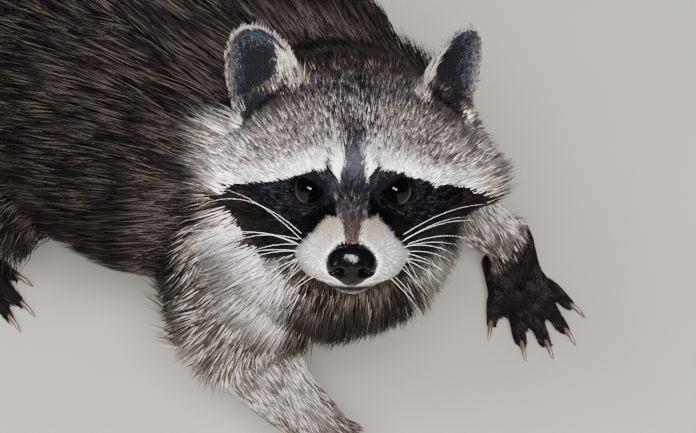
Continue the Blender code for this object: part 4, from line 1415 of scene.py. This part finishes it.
# ================================ Floor, light and camera =========================================
CAMERA_RISE = math.radians(48)  # above the level
CAMERA_TURN = math.radians(-47)  # from where the trunk points, towards the animal's right
CAMERA_AWAY = 1.4
FRAME_WIDE = 336.232 * MM  # what the frame's width takes in at the eyes
EYES_RIGHT, EYES_UP = 2.415 * MM, 13.285 * MM  # where the eyes stand, from its middle
LIT_PLACE = Vector((0.05, 0, 0.12))  # the lamps look here


def build_floor():
    bpy.ops.object.select_all(action="DESELECT")
    bpy.ops.mesh.primitive_plane_add(size=12, location=(0, 0, 0))
    floor = bpy.context.object
    floor.name = "floor"
    material, tree, surface = new_material("pale_plaster_floor", Roughness=0.85)
    in_patches(tree, surface, 1000 / 6, "#6a665f", "#75716a", 4.0)
    floor.data.materials.append(material)


def build_camera():
    level = math.cos(CAMERA_RISE)
    ahead, left = level * math.cos(CAMERA_TURN), level * math.sin(CAMERA_TURN)
    toward = Vector((ahead, left, math.sin(CAMERA_RISE)))
    turn = (-toward).to_track_quat("-Z", "Y")
    right, up = turn @ Vector((1, 0, 0)), turn @ Vector((0, 1, 0))
    offset = right * EYES_RIGHT + up * EYES_UP
    data = bpy.data.cameras.new("camera")
    data.sensor_width = 36
    data.lens = data.sensor_width * CAMERA_AWAY / FRAME_WIDE
    camera = bpy.data.objects.new("camera", data)
    camera.rotation_mode = "QUATERNION"
    camera.rotation_quaternion = turn
    camera.location = Vector(EYES_MIDDLE) + toward * CAMERA_AWAY - offset
    bpy.context.scene.collection.objects.link(camera)
    bpy.context.scene.camera = camera


def add_light(name, direction, distance, size, power, colour="#ffffff", mirrored=True):
    """A round soft lamp that looks at the model; it shows in gloss only if mirrored."""
    data = bpy.data.lights.new(name, "AREA")
    data.shape = "DISK"
    data.size = size
    data.energy = power
    data.color = tuple(linear(colour))
    light = bpy.data.objects.new(name, data)
    way = Vector(direction).normalized()
    light.location = LIT_PLACE + way * distance
    light.visible_glossy = mirrored
    light.rotation_mode = "QUATERNION"
    light.rotation_quaternion = (-way).to_track_quat("-Z", "Y")
    bpy.context.scene.collection.objects.link(light)


def build_light():
    """Soft light from above, a window in front for the gleam in the eyes, and a weak fill."""
    add_light("sky_key", (0.05, -0.65, 1.0), 2.6, 1.0, 120)
    add_light("front_window", (0.72, -0.56, 1.02), 2.4, 1.0, 230)
    add_light("front_soft", (0.66, -0.86, 0.62), 2.4, 1.8, 55, mirrored=False)
    add_light("fill", (-0.6, 0.9, 0.6), 3.0, 2.0, 34, "#eef3ff", mirrored=False)
    world = bpy.data.worlds.new("overcast")
    world.use_nodes = True
    backdrop = world.node_tree.nodes["Background"]
    backdrop.inputs["Color"].default_value = (*linear("#e6eaf2"), 1)
    backdrop.inputs["Strength"].default_value = 1.45
    bpy.context.scene.world = world
    world.cycles_visibility.glossy = False  # only the lamps show in the wet eyes and the nose


# ================================ Putting it together =============================================
EAR_AXES = {side: ear_axes(side) for _, side in SIDES}
TAIL_LINE = tail_line()
TAIL_RINGS = 6.6
CHEST_TOP = float(middle("upper_arm_left")[2]) + 0.045

build_camera()
build_light()
build_floor()

skin, groups, depth, edges = build_skin()
fields = coat_fields(skin, groups, depth, edges)
trunk_low, trunk_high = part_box("trunk")
SPANS = (fields["points"][:, 0] - trunk_low.x) / (trunk_high.x - trunk_low.x)
under = markings(fields["points"], fields["normals"], fields["weights"], None)
tint(skin.data, 0.7 * under[:, 0] + 0.3 * under[:, 1])

hair = coat_finish()
for name, grows, count, clump, pull, bent, slot in coat_plan(groups, to_head(fields["points"])):
    chosen = grows[fields["tris"][:, 0]]
    settle(grown_tufts(name, fields, chosen, count, clump, pull, bent), hair)

settle(skin, skin_finish(), FLESH)
for _, side in SIDES:
    build_eye(side)
build_nose()
skin_tree = BVHTree.FromPolygons(fields["points"].tolist(), fields["tris"].tolist())
build_whiskers(skin_tree)
build_claws(claw_finish())
